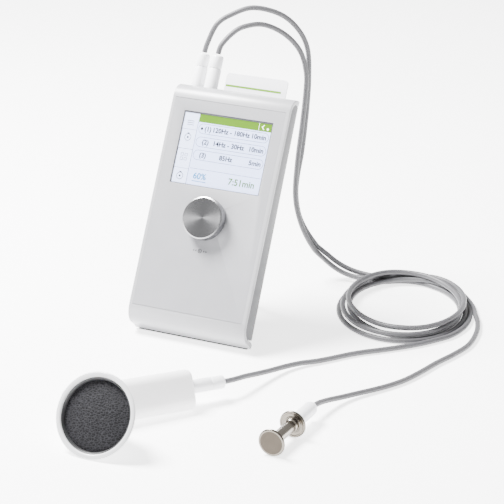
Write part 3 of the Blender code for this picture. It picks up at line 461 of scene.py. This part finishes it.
def smooth_route(route, spacing):
    """Even points along one smooth curve through a route's points, in millimetres."""
    knots = [Vector(point) for point in route]
    tangents = []
    for i in range(len(knots)):
        before = knots[max(i - 1, 0)]
        after = knots[min(i + 1, len(knots) - 1)]
        tangents.append((after - before) / (2 if 0 < i < len(knots) - 1 else 1))
    dense = [knots[0]]
    for i in range(len(knots) - 1):
        first = knots[i] + tangents[i] / 3
        second = knots[i + 1] - tangents[i + 1] / 3
        dense.extend(interpolate_bezier(knots[i], first, second, knots[i + 1], BEZIER_POINTS)[1:])
    return even(np.array(dense), spacing)


def even(points, spacing):
    """The same line with points at an even spacing."""
    lengths = np.concatenate([[0.0], np.cumsum(np.linalg.norm(np.diff(points, axis=0), axis=1))])
    wanted = np.linspace(0.0, lengths[-1], max(3, round(lengths[-1] / spacing) + 1))
    return np.stack([np.interp(wanted, lengths, points[:, axis]) for axis in range(3)], axis=1)


def coil_turns(sweep, lanes, wander):
    """The turns of one lead: round the oval, clockwise, in lanes that drift from turn to turn."""
    count = STRETCH_POINTS * round(abs(sweep[1] - sweep[0]) / math.tau * STRETCHES_A_TURN)
    shares, outs, heights = (np.array(column) for column in zip(*lanes))
    points = []
    for i in range(count + 1):
        share = i / count
        angle = sweep[0] + (sweep[1] - sweep[0]) * share
        out = np.interp(share, shares, outs) + wander(angle, share)
        x = (COIL_RADII[0] + out) * math.cos(angle)
        y = (COIL_RADII[1] + out) * math.sin(angle)
        points.append((COIL_CENTRE[0] + x * math.cos(COIL_TURN) - y * math.sin(COIL_TURN),
                       COIL_CENTRE[1] + x * math.sin(COIL_TURN) + y * math.cos(COIL_TURN),
                       np.interp(share, shares, heights)))
    return np.array(points)


def left_wander(angle, share):
    """Inner turns cut the corner at the front left, as loosely gathered turns do."""
    lean = math.radians(-150)
    near = max(0.0, math.cos(angle - lean))
    return -4.6 * near ** 3 * (1.0 if share < 0.5 else 0.25) + 0.9 * math.sin(2 * angle + 1.0)


def right_wander(angle, share):
    """The same for the right lead: its first turns lie further in, its last ones further out."""
    lean = math.radians(-145)
    near = max(0.0, math.cos(angle - lean))
    return (-2.8 if share < 0.42 else 1.2) * near ** 3 + 0.8 * math.sin(2 * angle - 0.6 + 3 * share)


WIDE_BEND_SHARE = 0.25


def bends(points, starts):
    """How far each point lies from the middle of its neighbours, along each lead."""
    bend = np.zeros_like(points)
    for start, end in zip(starts, starts[1:]):
        line = points[start:end]
        bend[start + 1:end - 1] = (line[:-2] + line[2:]) / 2 - line[1:-1]
        bend[start + 2:end - 2] += ((line[:-4] + line[4:]) / 2 - line[2:-2]) * WIDE_BEND_SHARE
    return bend


SETTLING_ROUNDS = 150
PUSH_SHARE = 0.42
SINK_STEP = 0.015
SPRING_SHARE = 0.35
TABLE_GAP = 0.1
NEIGHBOURS = 5
OUT_OF_REACH = 100.0


def settle(leads, fixed):
    """Lets the turns of both leads come to lie on and beside each other: they push each other apart to
    one diameter, sink under their weight, stay on the table and spring back to their own bend."""
    thick = 2 * CORD_RADIUS / MM
    sizes = [len(lead) for lead in leads]
    points = np.concatenate(leads)
    held = np.concatenate(fixed)
    owner = np.repeat(np.arange(len(leads)), sizes)
    index = np.concatenate([np.arange(size) for size in sizes])
    near = (owner[:, None] == owner[None]) & (np.abs(index[:, None] - index[None]) < NEIGHBOURS)
    starts = np.cumsum([0] + sizes)
    natural = bends(points, starts)
    for _ in range(SETTLING_ROUNDS):
        span = points[:, None] - points[None]
        gap = np.linalg.norm(span, axis=2) + near * OUT_OF_REACH + 1e-9
        push = np.clip(thick - gap, 0.0, None)
        shift = (span / gap[..., None] * push[..., None]).sum(1) * PUSH_SHARE
        shift[:, 2] -= SINK_STEP
        moved = points + shift + (bends(points, starts) - natural) * SPRING_SHARE
        moved[:, 2] = np.maximum(moved[:, 2], CORD_RADIUS / MM + TABLE_GAP)
        points = np.where(held[:, None], points, moved)
    return [points[start:end] for start, end in zip(starts, starts[1:])]


POINT_SPACING = 3.0
CURVE_SPACING = 2.2
EASING_ROUNDS = 60
EASING_REACH = 11
EASING_SHARE = 0.7
LOOSE_MARGIN = 6


def lead_line(rise, turns, run):
    """One lead end to end, eased where its parts join, and a mark on the points that stay put."""
    rise = smooth_route(rise, POINT_SPACING)
    run = smooth_route(run, POINT_SPACING)
    line = even(np.concatenate([rise, turns, run]), POINT_SPACING)
    lengths = [np.linalg.norm(np.diff(part, axis=0), axis=1).sum() for part in (rise, run)]
    enters = int(lengths[0] / POINT_SPACING)
    leaves = len(line) - int(lengths[1] / POINT_SPACING)
    for place in (enters, leaves):
        for _ in range(EASING_ROUNDS):
            part = line[place - EASING_REACH:place + EASING_REACH + 1]
            part[1:-1] += ((part[:-2] + part[2:]) / 2 - part[1:-1]) * EASING_SHARE
    loose_from = enters - LOOSE_MARGIN
    loose_to = leaves + LOOSE_MARGIN
    held = np.ones(len(line), bool)
    held[loose_from:loose_to] = False
    return line, held


def cord_curve(name, points):
    curve = bpy.data.curves.new(name, "CURVE")
    curve.dimensions = "3D"
    curve.bevel_depth = CORD_RADIUS
    curve.bevel_resolution = 5
    curve.use_fill_caps = True
    spline = curve.splines.new("POLY")
    spline.points.add(len(points) - 1)
    for point, where in zip(spline.points, points):
        point.co = (*(float(value) * MM for value in where), 1.0)
    spline.use_smooth = True
    return curve


def make_leads():
    left_turns = coil_turns(LEFT_SWEEP, LEFT_LANES, left_wander)
    right_turns = coil_turns(RIGHT_SWEEP, RIGHT_LANES, right_wander)
    left, left_held = lead_line(LEFT_RISE, left_turns, ELECTRODE_RUN)
    right, right_held = lead_line(RIGHT_RISE, right_turns, APPLICATOR_RUN)
    left, right = settle([left, right], [left_held, right_held])
    made = []
    for name, line, nodes in (("left_lead", left, ("lead_left_rise", "lead_coil", "lead_left_run")),
                              ("right_lead", right, ("lead_right_rise", "lead_right_run"))):
        line = even(line, CURVE_SPACING)
        lead = show(name, cord_curve(name, line), "cord_grey", ROOT, None, nodes)
        length = float(np.linalg.norm(np.diff(line, axis=0), axis=1).sum()) * MM
        made.append((lead, length, [float(value) * MM for value in line[0]]))
    return made


(LEFT_LEAD, LEFT_LENGTH, LEFT_EXIT), (RIGHT_LEAD, RIGHT_LENGTH, RIGHT_EXIT) = make_leads()


# ---------------------------------------------------------------- flat graphics

def rounded_outline(left, low, right, high, radius, steps=6):
    """Corners of a rectangle rounded off, anticlockwise, in millimetres."""
    radius = min(radius, (right - left) / 2, (high - low) / 2)
    corners = ((right - radius, high - radius, 0), (left + radius, high - radius, 90),
               (left + radius, low + radius, 180), (right - radius, low + radius, 270))
    points = []
    for x, y, start in corners:
        for i in range(steps + 1):
            angle = math.radians(start + 90 * i / steps)
            points.append((x + radius * math.cos(angle), y + radius * math.sin(angle)))
    return points


def circle(x, y, radius, steps=40):
    turn = math.tau / steps
    return [(x + radius * math.cos(i * turn), y + radius * math.sin(i * turn)) for i in range(steps)]


FIGURE_WEIGHT = 0.13 * MM
ARTWORK_MERGE_DISTANCE = 0.0005 * MM


class Print:
    """Thin raised artwork in the unit's own frame, in millimetres: plates, frames and figures."""

    def __init__(self, low, high):
        self.bm = bmesh.new()
        self.low = low
        self.high = high

    def plate(self, outline):
        layers = [[self.bm.verts.new((x * MM, y * MM, z * MM)) for x, y in outline]
                  for z in (self.low, self.high)]
        self.bm.faces.new(layers[0][::-1])
        self.bm.faces.new(layers[1])
        self.walls(layers[0], layers[1])
        return self

    def walls(self, low, high):
        for i in range(len(low)):
            j = (i + 1) % len(low)
            self.bm.faces.new((low[i], low[j], high[j], high[i]))

    def frame(self, outer, inner):
        rings = [[self.bm.verts.new((x * MM, y * MM, z * MM)) for x, y in outline]
                 for outline in (outer, inner) for z in (self.low, self.high)]
        self.walls(rings[0], rings[1])
        self.walls(rings[3], rings[2])
        self.walls(rings[1], rings[3])
        self.walls(rings[2], rings[0])
        return self

    def figures(self, text, x, y, size, align="CENTER"):
        curve = bpy.data.curves.new("figures", "FONT")
        curve.body = text
        curve.size = size * MM
        curve.align_x = align
        curve.align_y = "CENTER"
        curve.resolution_u = 4
        curve.offset = FIGURE_WEIGHT
        curve.extrude = (self.high - self.low) / 2 * MM
        holder = bpy.data.objects.new("figures", curve)
        bpy.context.scene.collection.objects.link(holder)
        bpy.context.view_layer.update()
        evaluated = holder.evaluated_get(bpy.context.evaluated_depsgraph_get())
        mesh = bpy.data.meshes.new_from_object(evaluated)
        mesh.transform(Matrix.Translation((x * MM, y * MM, (self.low + self.high) / 2 * MM)))
        self.bm.from_mesh(mesh)
        bpy.data.objects.remove(holder)
        bpy.data.curves.remove(curve)
        bpy.data.meshes.remove(mesh)
        return self

    def done(self, name, body, matrix, slot, look):
        bmesh.ops.remove_doubles(self.bm, verts=self.bm.verts, dist=ARTWORK_MERGE_DISTANCE)
        return show(name, mesh_from(self.bm, name), slot, body, matrix, (), 0, look)


# ---------------------------------------------------------------- control unit

SCREEN_LOW, SCREEN_HIGH = (corner / MM for corner in local_box("display_window", UNIT))
CARD_LOW, CARD_HIGH = (corner / MM for corner in local_box("chip_card", UNIT))


OVERLAY_STRETCH = 1.0055


def make_covers():
    refine("front_cover", "cover_pearl", 0.35)
    overlay = refine("face_overlay", "face_film", 0.05, ROOT, 1)
    overlay.data.transform(UNIT @ Matrix.Diagonal((OVERLAY_STRETCH, 1.0, 1.0, 1.0)) @ UNIT.inverted())
    refine("rear_shell", "shell_grey", 0.35)
    refine("battery_door", "shell_grey", 0.3)
    # The foot strip is partly real black rubber and partly painted contact shadow: its black stands in for the
    # shadow where the unit's toe meets the table.
    refine("foot_strip", "rubber_black", 0.25)
    refine("kickstand", "shell_grey", 0.4, "stand")
    refine("stand_foot", "rubber_black", 0.25, "stand")
    refine("charge_socket", "connector_black", 0.2)


def make_door_grip():
    """Raised lines for the thumb on the battery door."""
    low, high = (corner / MM for corner in local_box("battery_door", UNIT))
    grip = Print(low.z - 0.5, low.z + 0.1)
    for i in range(5):
        y = high.y - 6.0 - 2.0 * i
        reach = 9.0 - 1.2 * i
        grip.plate(rounded_outline(-reach, y - 0.45, reach, y + 0.45, 0.45))
    grip.done("battery_door_grip", ROOT, UNIT, "shell_grey", MATERIALS["shell_grey"])


def make_knob():
    low, high = (corner / MM for corner in local_box("knob", UNIT))
    rim = high.x
    top = high.z
    face = [(0, top - 0.35), (6, top - 0.3), (12, top - 0.16), (rim - 1.6, top - 0.02),
            (rim - 1.2, top), (rim - 0.25, top - 0.5), (rim, top - 1.3), (rim, low.z + 0.3),
            (rim - 0.3, low.z)]
    inside = [(rim - 1.8, low.z), (rim - 1.8, 5.6), (5.2, 5.6), (5.2, low.z), (3.3, low.z),
              (3.3, 7.2), (0, 7.2)]
    show("knob_turned", lathe("knob_turned", face + inside, 128), "knob_metal", "knob_and_shaft", UNIT,
         ("knob",), 30.0)


INK = moulded("dark_ink", (0.03, 0.03, 0.035), 0.5)


def make_knob_symbol():
    """Press-and-turn symbol below the knob: a dot in a ring between two arrow heads."""
    y = -25.2
    ink = Print(-0.02, 0.03)
    ink.frame(circle(0, y, 1.75), circle(0, y, 1.15)).plate(circle(0, y, 0.62, 20))
    for side in (-1, 1):
        for start in (3.0, 5.0):
            foot = side * start
            tip = side * (start + 1.3)
            ink.plate([(foot, y + 0.8), (foot, y - 0.8), (tip, y)][::side])
    ink.done("knob_symbol", ROOT, UNIT, "face_film", INK)


def light_up(artwork, name, tone_name, colour, glow):
    """Puts artwork on the lit screen in a tone of its own."""
    artwork.done(name, ROOT, UNIT, "display_pane", lit(tone_name, colour, glow))


def make_screen():
    """Treatment page: a column of symbols, a heading bar, three rows of values and two readings."""
    left, right = SCREEN_LOW.x, SCREEN_HIGH.x
    bottom, top = SCREEN_LOW.y, SCREEN_HIGH.y
    base = SCREEN_HIGH.z
    column = left + 13.3
    # Black gasket round the pane, thin at the sides and bottom; its wide band along the top is painted shadow cast
    # by the recess edge.
    gasket_and_shadow = Print(base, base + 0.3)
    gasket_and_shadow.frame(rounded_outline(left, bottom, right, top, 0.05, 1),
                 rounded_outline(left + 0.25, bottom + 0.2, right - 0.2, top - 0.9, 0.05, 1))
    gasket_and_shadow.done("screen_gasket_and_painted_shadow", ROOT, UNIT, "module_black", MATERIALS["module_black"])

    heading = Print(base, base + 0.05)
    heading.plate(rounded_outline(column, top - 7.3, right - 0.2, top - 0.9, 0.05, 1))
    light_up(heading, "screen_heading", "screen_green", (0.062, 0.15, 0.001), 0.0)

    cells = Print(base, base + 0.04)
    edges = [top - 0.9, top - 14.2, top - 29.9, top - 45.3, bottom + 0.2]
    for high, low in zip(edges, edges[1:]):
        cells.plate(rounded_outline(left + 0.3, low + 0.15, column - 0.35, high - 0.15, 0.3, 2))
    light_up(cells, "screen_cells", "screen_cell", (0.56, 0.63, 0.86), 0.35)

    lines = Print(base, base + 0.05)
    for edge in edges[1:-1]:
        lines.plate(rounded_outline(left + 0.3, edge - 0.13, column - 0.35, edge + 0.13, 0.05, 1))
    lines.plate(rounded_outline(column - 0.3, bottom + 0.2, column - 0.02, top - 7.4, 0.05, 1))
    lines.plate(rounded_outline(column + 1.0, top - 44.4, right - 0.8, top - 44.15, 0.05, 1))
    rows = [top - 12.3, top - 22.8, top - 33.3]
    for row in rows:
        lines.frame(rounded_outline(column + 1.0, row - 4.0, right - 1.2, row + 4.0, 4.0),
                    rounded_outline(column + 1.28, row - 3.72, right - 1.48, row + 3.72, 3.72))
    light_up(lines, "screen_lines", "screen_grey", (0.045, 0.06, 0.12), 0.03)

    text = Print(base + 0.04, base + 0.08)
    values = (("(1)", "120Hz - 180Hz", "10min"), ("(2)", "14Hz - 30Hz", "10min"),
              ("(3)", "85Hz", "5min"))
    for row, (number, band, minutes) in zip(rows, values):
        text.figures(number, column + 9.4, row, 5.3)
        text.figures(band, column + 29.6, row, 5.3)
        text.figures(minutes, right - 3.2, row, 5.3, "RIGHT")
    text.plate(circle(column + 4.0, rows[0], 1.05, 24))
    middle = (left + column) / 2
    for number, edge in enumerate(edges[:-1]):
        y = edge - 6.4
        if number == 0:
            for i in range(3):
                low = y - 0.25 - 1.6 * i
                high = y + 0.15 - 1.6 * i
                text.plate(rounded_outline(middle - 3.0, low, middle + 3.0, high, 0.2, 2))
        elif number == 2:
            for x in (middle - 1.7, middle + 1.7):
                for z in (y - 1.7, y + 1.7):
                    text.frame(rounded_outline(x - 1.2, z - 1.2, x + 1.2, z + 1.2, 0.3, 2),
                               rounded_outline(x - 0.95, z - 0.95, x + 0.95, z + 0.95, 0.1, 2))
        else:
            text.frame(circle(middle, y, 2.9), circle(middle, y, 2.5))
            text.plate(circle(middle, y, 0.8, 20))
            text.plate(rounded_outline(middle - 0.9, y + 2.8, middle + 0.9, y + 3.6, 0.2, 2))
    light_up(text, "screen_values", "screen_text", (0.002, 0.002, 0.006), 0.0)

    marks = Print(base + 0.05, base + 0.08)
    marks.plate(rounded_outline(right - 11.4, top - 7.0, right - 11.1, top - 1.2, 0.05, 1))
    marks.plate([(right - 8.9, top - 4.1), (right - 7.0, top - 6.2), (right - 6.5, top - 5.8),
                 (right - 8.0, top - 4.1), (right - 6.5, top - 2.4), (right - 7.0, top - 2.0)])
    marks.plate(circle(right - 3.4, top - 5.2, 0.9, 20))
    light_up(marks, "screen_marks", "screen_white", (0.9, 0.95, 0.9), 0.5)

    strength = Print(base + 0.03, base + 0.07)
    strength.figures("60%", column + 10.6, bottom + 7.4, 6.8)
    strength.plate(rounded_outline(column + 4.4, bottom + 3.2, column + 16.8, bottom + 3.7, 0.2, 2))
    light_up(strength, "screen_strength", "screen_cyan", (0.01, 0.16, 0.36), 0.08)
    time = Print(base + 0.03, base + 0.07)
    time.figures("7:51min", right - 4.8, bottom + 7.0, 7.2, "RIGHT")
    light_up(time, "screen_time", "screen_lime", (0.05, 0.12, 0.002), 0.0)


def make_card():
    refine("chip_card", "card_white", 0.12, "card", 1)
    stripe = Print(CARD_HIGH.z - 0.01, CARD_HIGH.z + 0.03)
    stripe.plate(rounded_outline(CARD_LOW.x + 1.0, CARD_HIGH.y - 11.1,
                                 CARD_HIGH.x - 4.6, CARD_HIGH.y - 9.4, 0.3, 2))
    stripe.done("card_stripe", "card", UNIT, "card_white",
                moulded("stripe_ink", (0.10, 0.24, 0.004), 0.35, 3000.0, 0.00001))


# ---------------------------------------------------------------- plugs

def make_plug(name, axis):
    """Sleeve, groove and end cap of one plug, turned about its axis. Returns its two pieces."""
    middle = centre(f"{name}_sleeve")
    matrix = axis_frame(middle, axis, FACE_OUT)
    low, high = (corner / MM for corner in local_box(f"{name}_sleeve", matrix))
    top = local_box(f"{name}_cap", matrix)[1].z / MM
    radius = high.x
    sunk = low.z + 11.5
    sleeve = [(0, high.z), (radius - 0.7, high.z), (radius - 0.2, high.z - 0.15),
              (radius, high.z - 0.6), (radius, low.z + 0.5), (radius - 0.4, low.z), (2.5, low.z),
              (2.5, sunk), (0, sunk)]
    step = high.z + 0.5
    cap = [(0, high.z + 0.1), (radius - 0.75, high.z + 0.1), (radius - 0.75, step),
           (radius - 0.3, step + 0.1), (radius - 0.1, step + 0.5), (radius - 0.1, top - 1.5),
           (radius - 0.35, top - 0.7), (radius - 0.9, top - 0.15), (radius - 1.5, top), (2.45, top),
           (2.3, top - 0.3), (2.2, top - 2.0), (0, top - 2.0)]
    pieces = []
    for part, profile in (("sleeve", sleeve), ("cap", cap)):
        title = f"{name}_{part}"
        turned = lathe(title, profile, 64)
        pieces.append(show(f"{title}_turned", turned, "plug_white", ROOT, matrix, (title,)))
    return pieces


# ---------------------------------------------------------------- applicator

def flat_normal(node, towards):
    """The normal that most of a node's surface shares, turned to one side."""
    totals = {}
    for face in NODES[node].data.polygons:
        key = tuple(round(value, 2) for value in face.normal)
        area, total = totals.get(key, (0.0, Vector()))
        totals[key] = (area + face.area, total + face.normal * face.area)
    normal = max(totals.values(), key=lambda entry: entry[0])[1].normalized()
    return normal if normal.dot(towards) > 0 else -normal


HEAD_AXIS = flat_normal("electrode_plate", Vector((0, -1, 1)))
HEAD_OFFSET = 8.7
HEAD = axis_frame(centre("electrode_plate") + HEAD_AXIS * HEAD_OFFSET * MM, HEAD_AXIS)
HANDLE_AXIS = (centre("applicator_plug_cap") - centre("applicator_socket")).normalized()
HANDLE_REST_HEIGHT = 0.2 * MM
HANDLE_HALF_WIDTH = 13.5 * MM
HANDLE_GROWTH = 3.4
HANDLE_TAPER = 0.055
HANDLE_MOST_GROWTH = 6.4
HANDLE_FADE_END = 76.0
HANDLE_FADE_LENGTH = 22.0


def make_cup():
    """The cup with its rolled rim, and the ring that holds the film."""
    outside = [(31.1, -0.9), (30.9, -1.4), (29.8, -3.2), (28.4, -5.6), (25.7, -10.5), (21.4, -18.0),
               (18.0, -22.6), (15.0, -24.4), (0, -25.0)]
    inside = [(0, -22.5), (15.0, -21.9), (19.0, -17.6), (23.6, -9.9), (24.0, -7.1), (27.1, -6.7),
              (27.25, -1.2), (27.6, -0.5), (28.4, -0.1), (30.3, -0.15), (31.1, -0.9)]
    profile = rounded(inside, 0.5, 3)[:-1] + rounded(outside, 1.0, 3)
    look = moulded("cup_moulding", (0.56, 0.56, 0.57), 0.34, 1200.0, 0.00001, 0.02, Coat_Weight=0.2)
    show("head_cup_turned", lathe("head_cup_turned", profile, 128), "applicator_white", ROOT, HEAD,
         ("head_cup",), 40.0, look)
    ring = [(27.1, -1.2), (27.0, -6.3), (25.3, -6.3), (25.2, -5.2), (25.5, -3.4), (26.3, -1.3),
            (26.7, -1.0)]
    show("membrane_ring_turned", lathe("membrane_ring_turned", ring, 128), "ring_grey", ROOT, HEAD,
         ("membrane_ring",), 40.0)


FILM_REACH = 25.4
FILM_TOP = -1.7
FILM_DROP = 1.9
FILM_THICKNESS = 0.8


def make_membrane():
    """The domed film: its surface is creased as well as crowned."""
    bm = bmesh.new()
    rings = 56
    steps = 168
    reach = FILM_REACH
    layers = []
    for side in (1, 0):
        rows = [[bm.verts.new((0, 0, film_height(0, 0, reach, side)))]]
        for i in range(1, rings + 1):
            radius = reach * i / rings
            row = []
            for j in range(steps):
                x = radius * math.cos(math.tau * j / steps)
                y = radius * math.sin(math.tau * j / steps)
                row.append(bm.verts.new((x * MM, y * MM, film_height(x, y, reach, side))))
            rows.append(row)
        for j in range(steps):
            k = (j + 1) % steps
            bm.faces.new((rows[0][0], rows[1][j], rows[1][k]))
            for near, far in zip(rows[1:], rows[2:]):
                bm.faces.new((near[j], far[j], far[k], near[k]))
        layers.append(rows[-1])
    for j in range(steps):
        k = (j + 1) % steps
        bm.faces.new((layers[0][j], layers[1][j], layers[1][k], layers[0][k]))
    show("membrane_film", mesh_from(bm, "membrane_film"), "membrane_grey", ROOT, HEAD,
         ("membrane",), 60.0)


def film_height(x, y, reach, side):
    """Crown, minus the film's thickness below, plus wrinkles that fade out at the clamped edge."""
    share = math.hypot(x, y) / reach
    height = FILM_TOP - FILM_DROP * share ** 2
    if not side:
        return (height - FILM_THICKNESS) * MM
    fade = 1 - share ** 6
    crease = noise.fractal(Vector((x * 0.5, y * 0.85, 3.0)), 0.7, 2.1, 4)
    soft = noise.noise(Vector((x * 0.12, y * 0.12, 9.0)))
    return (height + fade * (0.2 * crease + 0.25 * soft)) * MM


def make_handle():
    """Both halves of the bar. Its lower side deepens towards the head, less so under the cup, and is
    flat where it would meet the table."""
    along = -HANDLE_AXIS
    down = (Vector((0, 0, -1)) + along * along.z).normalized()
    out = flat_normal("handle_front_half", HEAD_AXIS)
    aside = (down - out * down.dot(out)).normalized()
    end = centre("applicator_socket")
    for node in ("handle_front_half", "handle_rear_half"):
        made = refine(node, "applicator_white", 0.35)
        for vert in made.data.vertices:
            reach = vert.co - end
            lower = max(0.0, reach.dot(aside) / HANDLE_HALF_WIDTH)
            place = reach.dot(along) / MM
            fade = min(max((HANDLE_FADE_END - place) / HANDLE_FADE_LENGTH, 0.0), 1.0)
            growth = min(max(HANDLE_GROWTH + place * HANDLE_TAPER, 0.0), HANDLE_MOST_GROWTH) * fade
            vert.co += aside * (lower * growth * MM)
            vert.co.z = max(vert.co.z, HANDLE_REST_HEIGHT)


# ---------------------------------------------------------------- electrode

def make_electrode():
    """A metal spool: two rimmed discs on a waisted stem, and the white sleeve behind it."""
    middle = centre("electrode_front_disc")
    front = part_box("electrode_front_disc")[0].y
    matrix = axis_frame(Vector((middle.x, front, middle.z)), Vector((0, 1, 0)))
    radius, thick = 10.2, 2.0
    disc = [(0, 0.12), (radius - 2.2, 0.08), (radius - 1.5, 0.0), (radius - 0.6, 0.0), (radius, 0.6),
            (radius, thick - 0.6), (radius - 0.6, thick), (0, thick)]
    rear = (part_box("electrode_rear_disc")[0].y - front) / MM
    back = [(0, rear + thick), (radius - 0.6, rear + thick), (radius, rear + thick - 0.6),
            (radius, rear + 0.6), (radius - 0.6, rear), (radius - 1.6, rear + 0.05),
            (radius - 2.0, rear + 0.35), (6.2, rear + 0.35), (5.8, rear), (0, rear)]
    stem = [(0, thick + 0.02), (4.9, thick + 0.02), (4.6, thick + 0.6), (4.45, thick + 1.6),
            (4.4, thick + 4.0), (4.4, rear - 3.2), (4.6, rear - 2.6), (5.1, rear - 2.2),
            (5.2, rear - 1.9), (5.2, rear - 0.6), (5.0, rear - 0.05), (0, rear - 0.05)]
    # Painted shade: the two discs take a darker copy of the electrode metal, set against the bright floor their
    # faces reflect.
    shaded_disc_metal = metal("electrode_discs_painted_shade", (0.15, 0.135, 0.115), 0.22, 500.0)
    parts = (("electrode_front_disc", disc), ("electrode_rear_disc", back), ("electrode_stem", stem))
    for title, profile in parts:
        shape = lathe(title, rounded(profile, 0.3, 3), 112)
        look = None if title == "electrode_stem" else shaded_disc_metal
        show(f"{title}_turned", shape, "electrode_metal", ROOT, matrix, (title,), 50.0, look)
    # The face disc takes a much darker, rougher copy of the electrode metal.
    face = lathe("electrode_face", [(0, -0.02), (8.5, -0.02), (8.5, 0.3), (0, 0.3)], 96)
    show("electrode_face", face, "electrode_metal", ROOT, matrix, (), 50.0,
         metal("electrode_face_darker", (0.062, 0.052, 0.042), 0.42, 900.0))
    low, high = ((corner.y - front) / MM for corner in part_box("electrode_plug"))
    sleeve = [(0, low), (5.0, low), (5.35, low + 0.3), (5.35, high - 5.0), (5.2, high - 2.4),
              (4.6, high - 0.9), (3.6, high - 0.15), (2.9, high), (2.4, high), (2.2, high - 1.2),
              (0, high - 1.2)]
    turned = lathe("electrode_plug_turned", sleeve, 72)
    show("electrode_plug_turned", turned, "plug_white", ROOT, matrix, ("electrode_plug",), 40.0)


# ---------------------------------------------------------------- the whole set

make_covers()
make_door_grip()
make_knob()
make_knob_symbol()
make_screen()
make_card()
LEFT_PLUG = make_plug("plug_left", FACE_UP)
RIGHT_PLUG = make_plug("plug_right", FACE_UP)
HANDLE_PLUG = make_plug("applicator_plug", HANDLE_AXIS)
make_cup()
make_membrane()
make_handle()
make_electrode()


# ---------------------------------------------------------------- floor and light

FLOOR_HALF_SIZE = 6.0
FLOOR_DEPTH = 0.2 * MM
FLOOR_GLOW = 2.9
SKY_STRENGTH = 0.75
LIGHT_AIM = Vector((0.05, -0.02, 0.08))
KEY_PLACE = (-0.66, -0.06, 1.2)
KEY_POWER = 155.0
KEY_SIZE = 0.6


def make_floor():
    bm = bmesh.new()
    sunk = Matrix.Translation((0, 0, -FLOOR_DEPTH))
    bmesh.ops.create_grid(bm, x_segments=1, y_segments=1, size=FLOOR_HALF_SIZE, matrix=sunk)
    floor = bpy.data.objects.new("floor", mesh_from(bm, "floor"))
    look = Look("floor_paper", 0.9, Emission_Strength=FLOOR_GLOW, Emission_Color=(1, 1, 1, 1))
    look.colour(look.noise(3.0), (0.86, 0.86, 0.86), (0.88, 0.88, 0.88))
    floor.data.materials.append(look.material)
    bpy.context.scene.collection.objects.link(floor)


def make_world():
    world = bpy.data.worlds.new("studio")
    world.use_nodes = True
    world.node_tree.nodes["Background"].inputs["Color"].default_value = (1, 1, 1, 1)
    world.node_tree.nodes["Background"].inputs["Strength"].default_value = SKY_STRENGTH
    bpy.context.scene.world = world


def soft_box(name, where, power, size):
    light = bpy.data.lights.new(name, "AREA")
    light.shape = "DISK"
    light.size = size
    light.energy = power
    lamp = bpy.data.objects.new(name, light)
    lamp.location = where
    lamp.rotation_euler = (LIGHT_AIM - Vector(where)).to_track_quat("-Z", "Y").to_euler()
    bpy.context.scene.collection.objects.link(lamp)


make_floor()
make_world()
soft_box("key", KEY_PLACE, KEY_POWER, KEY_SIZE)
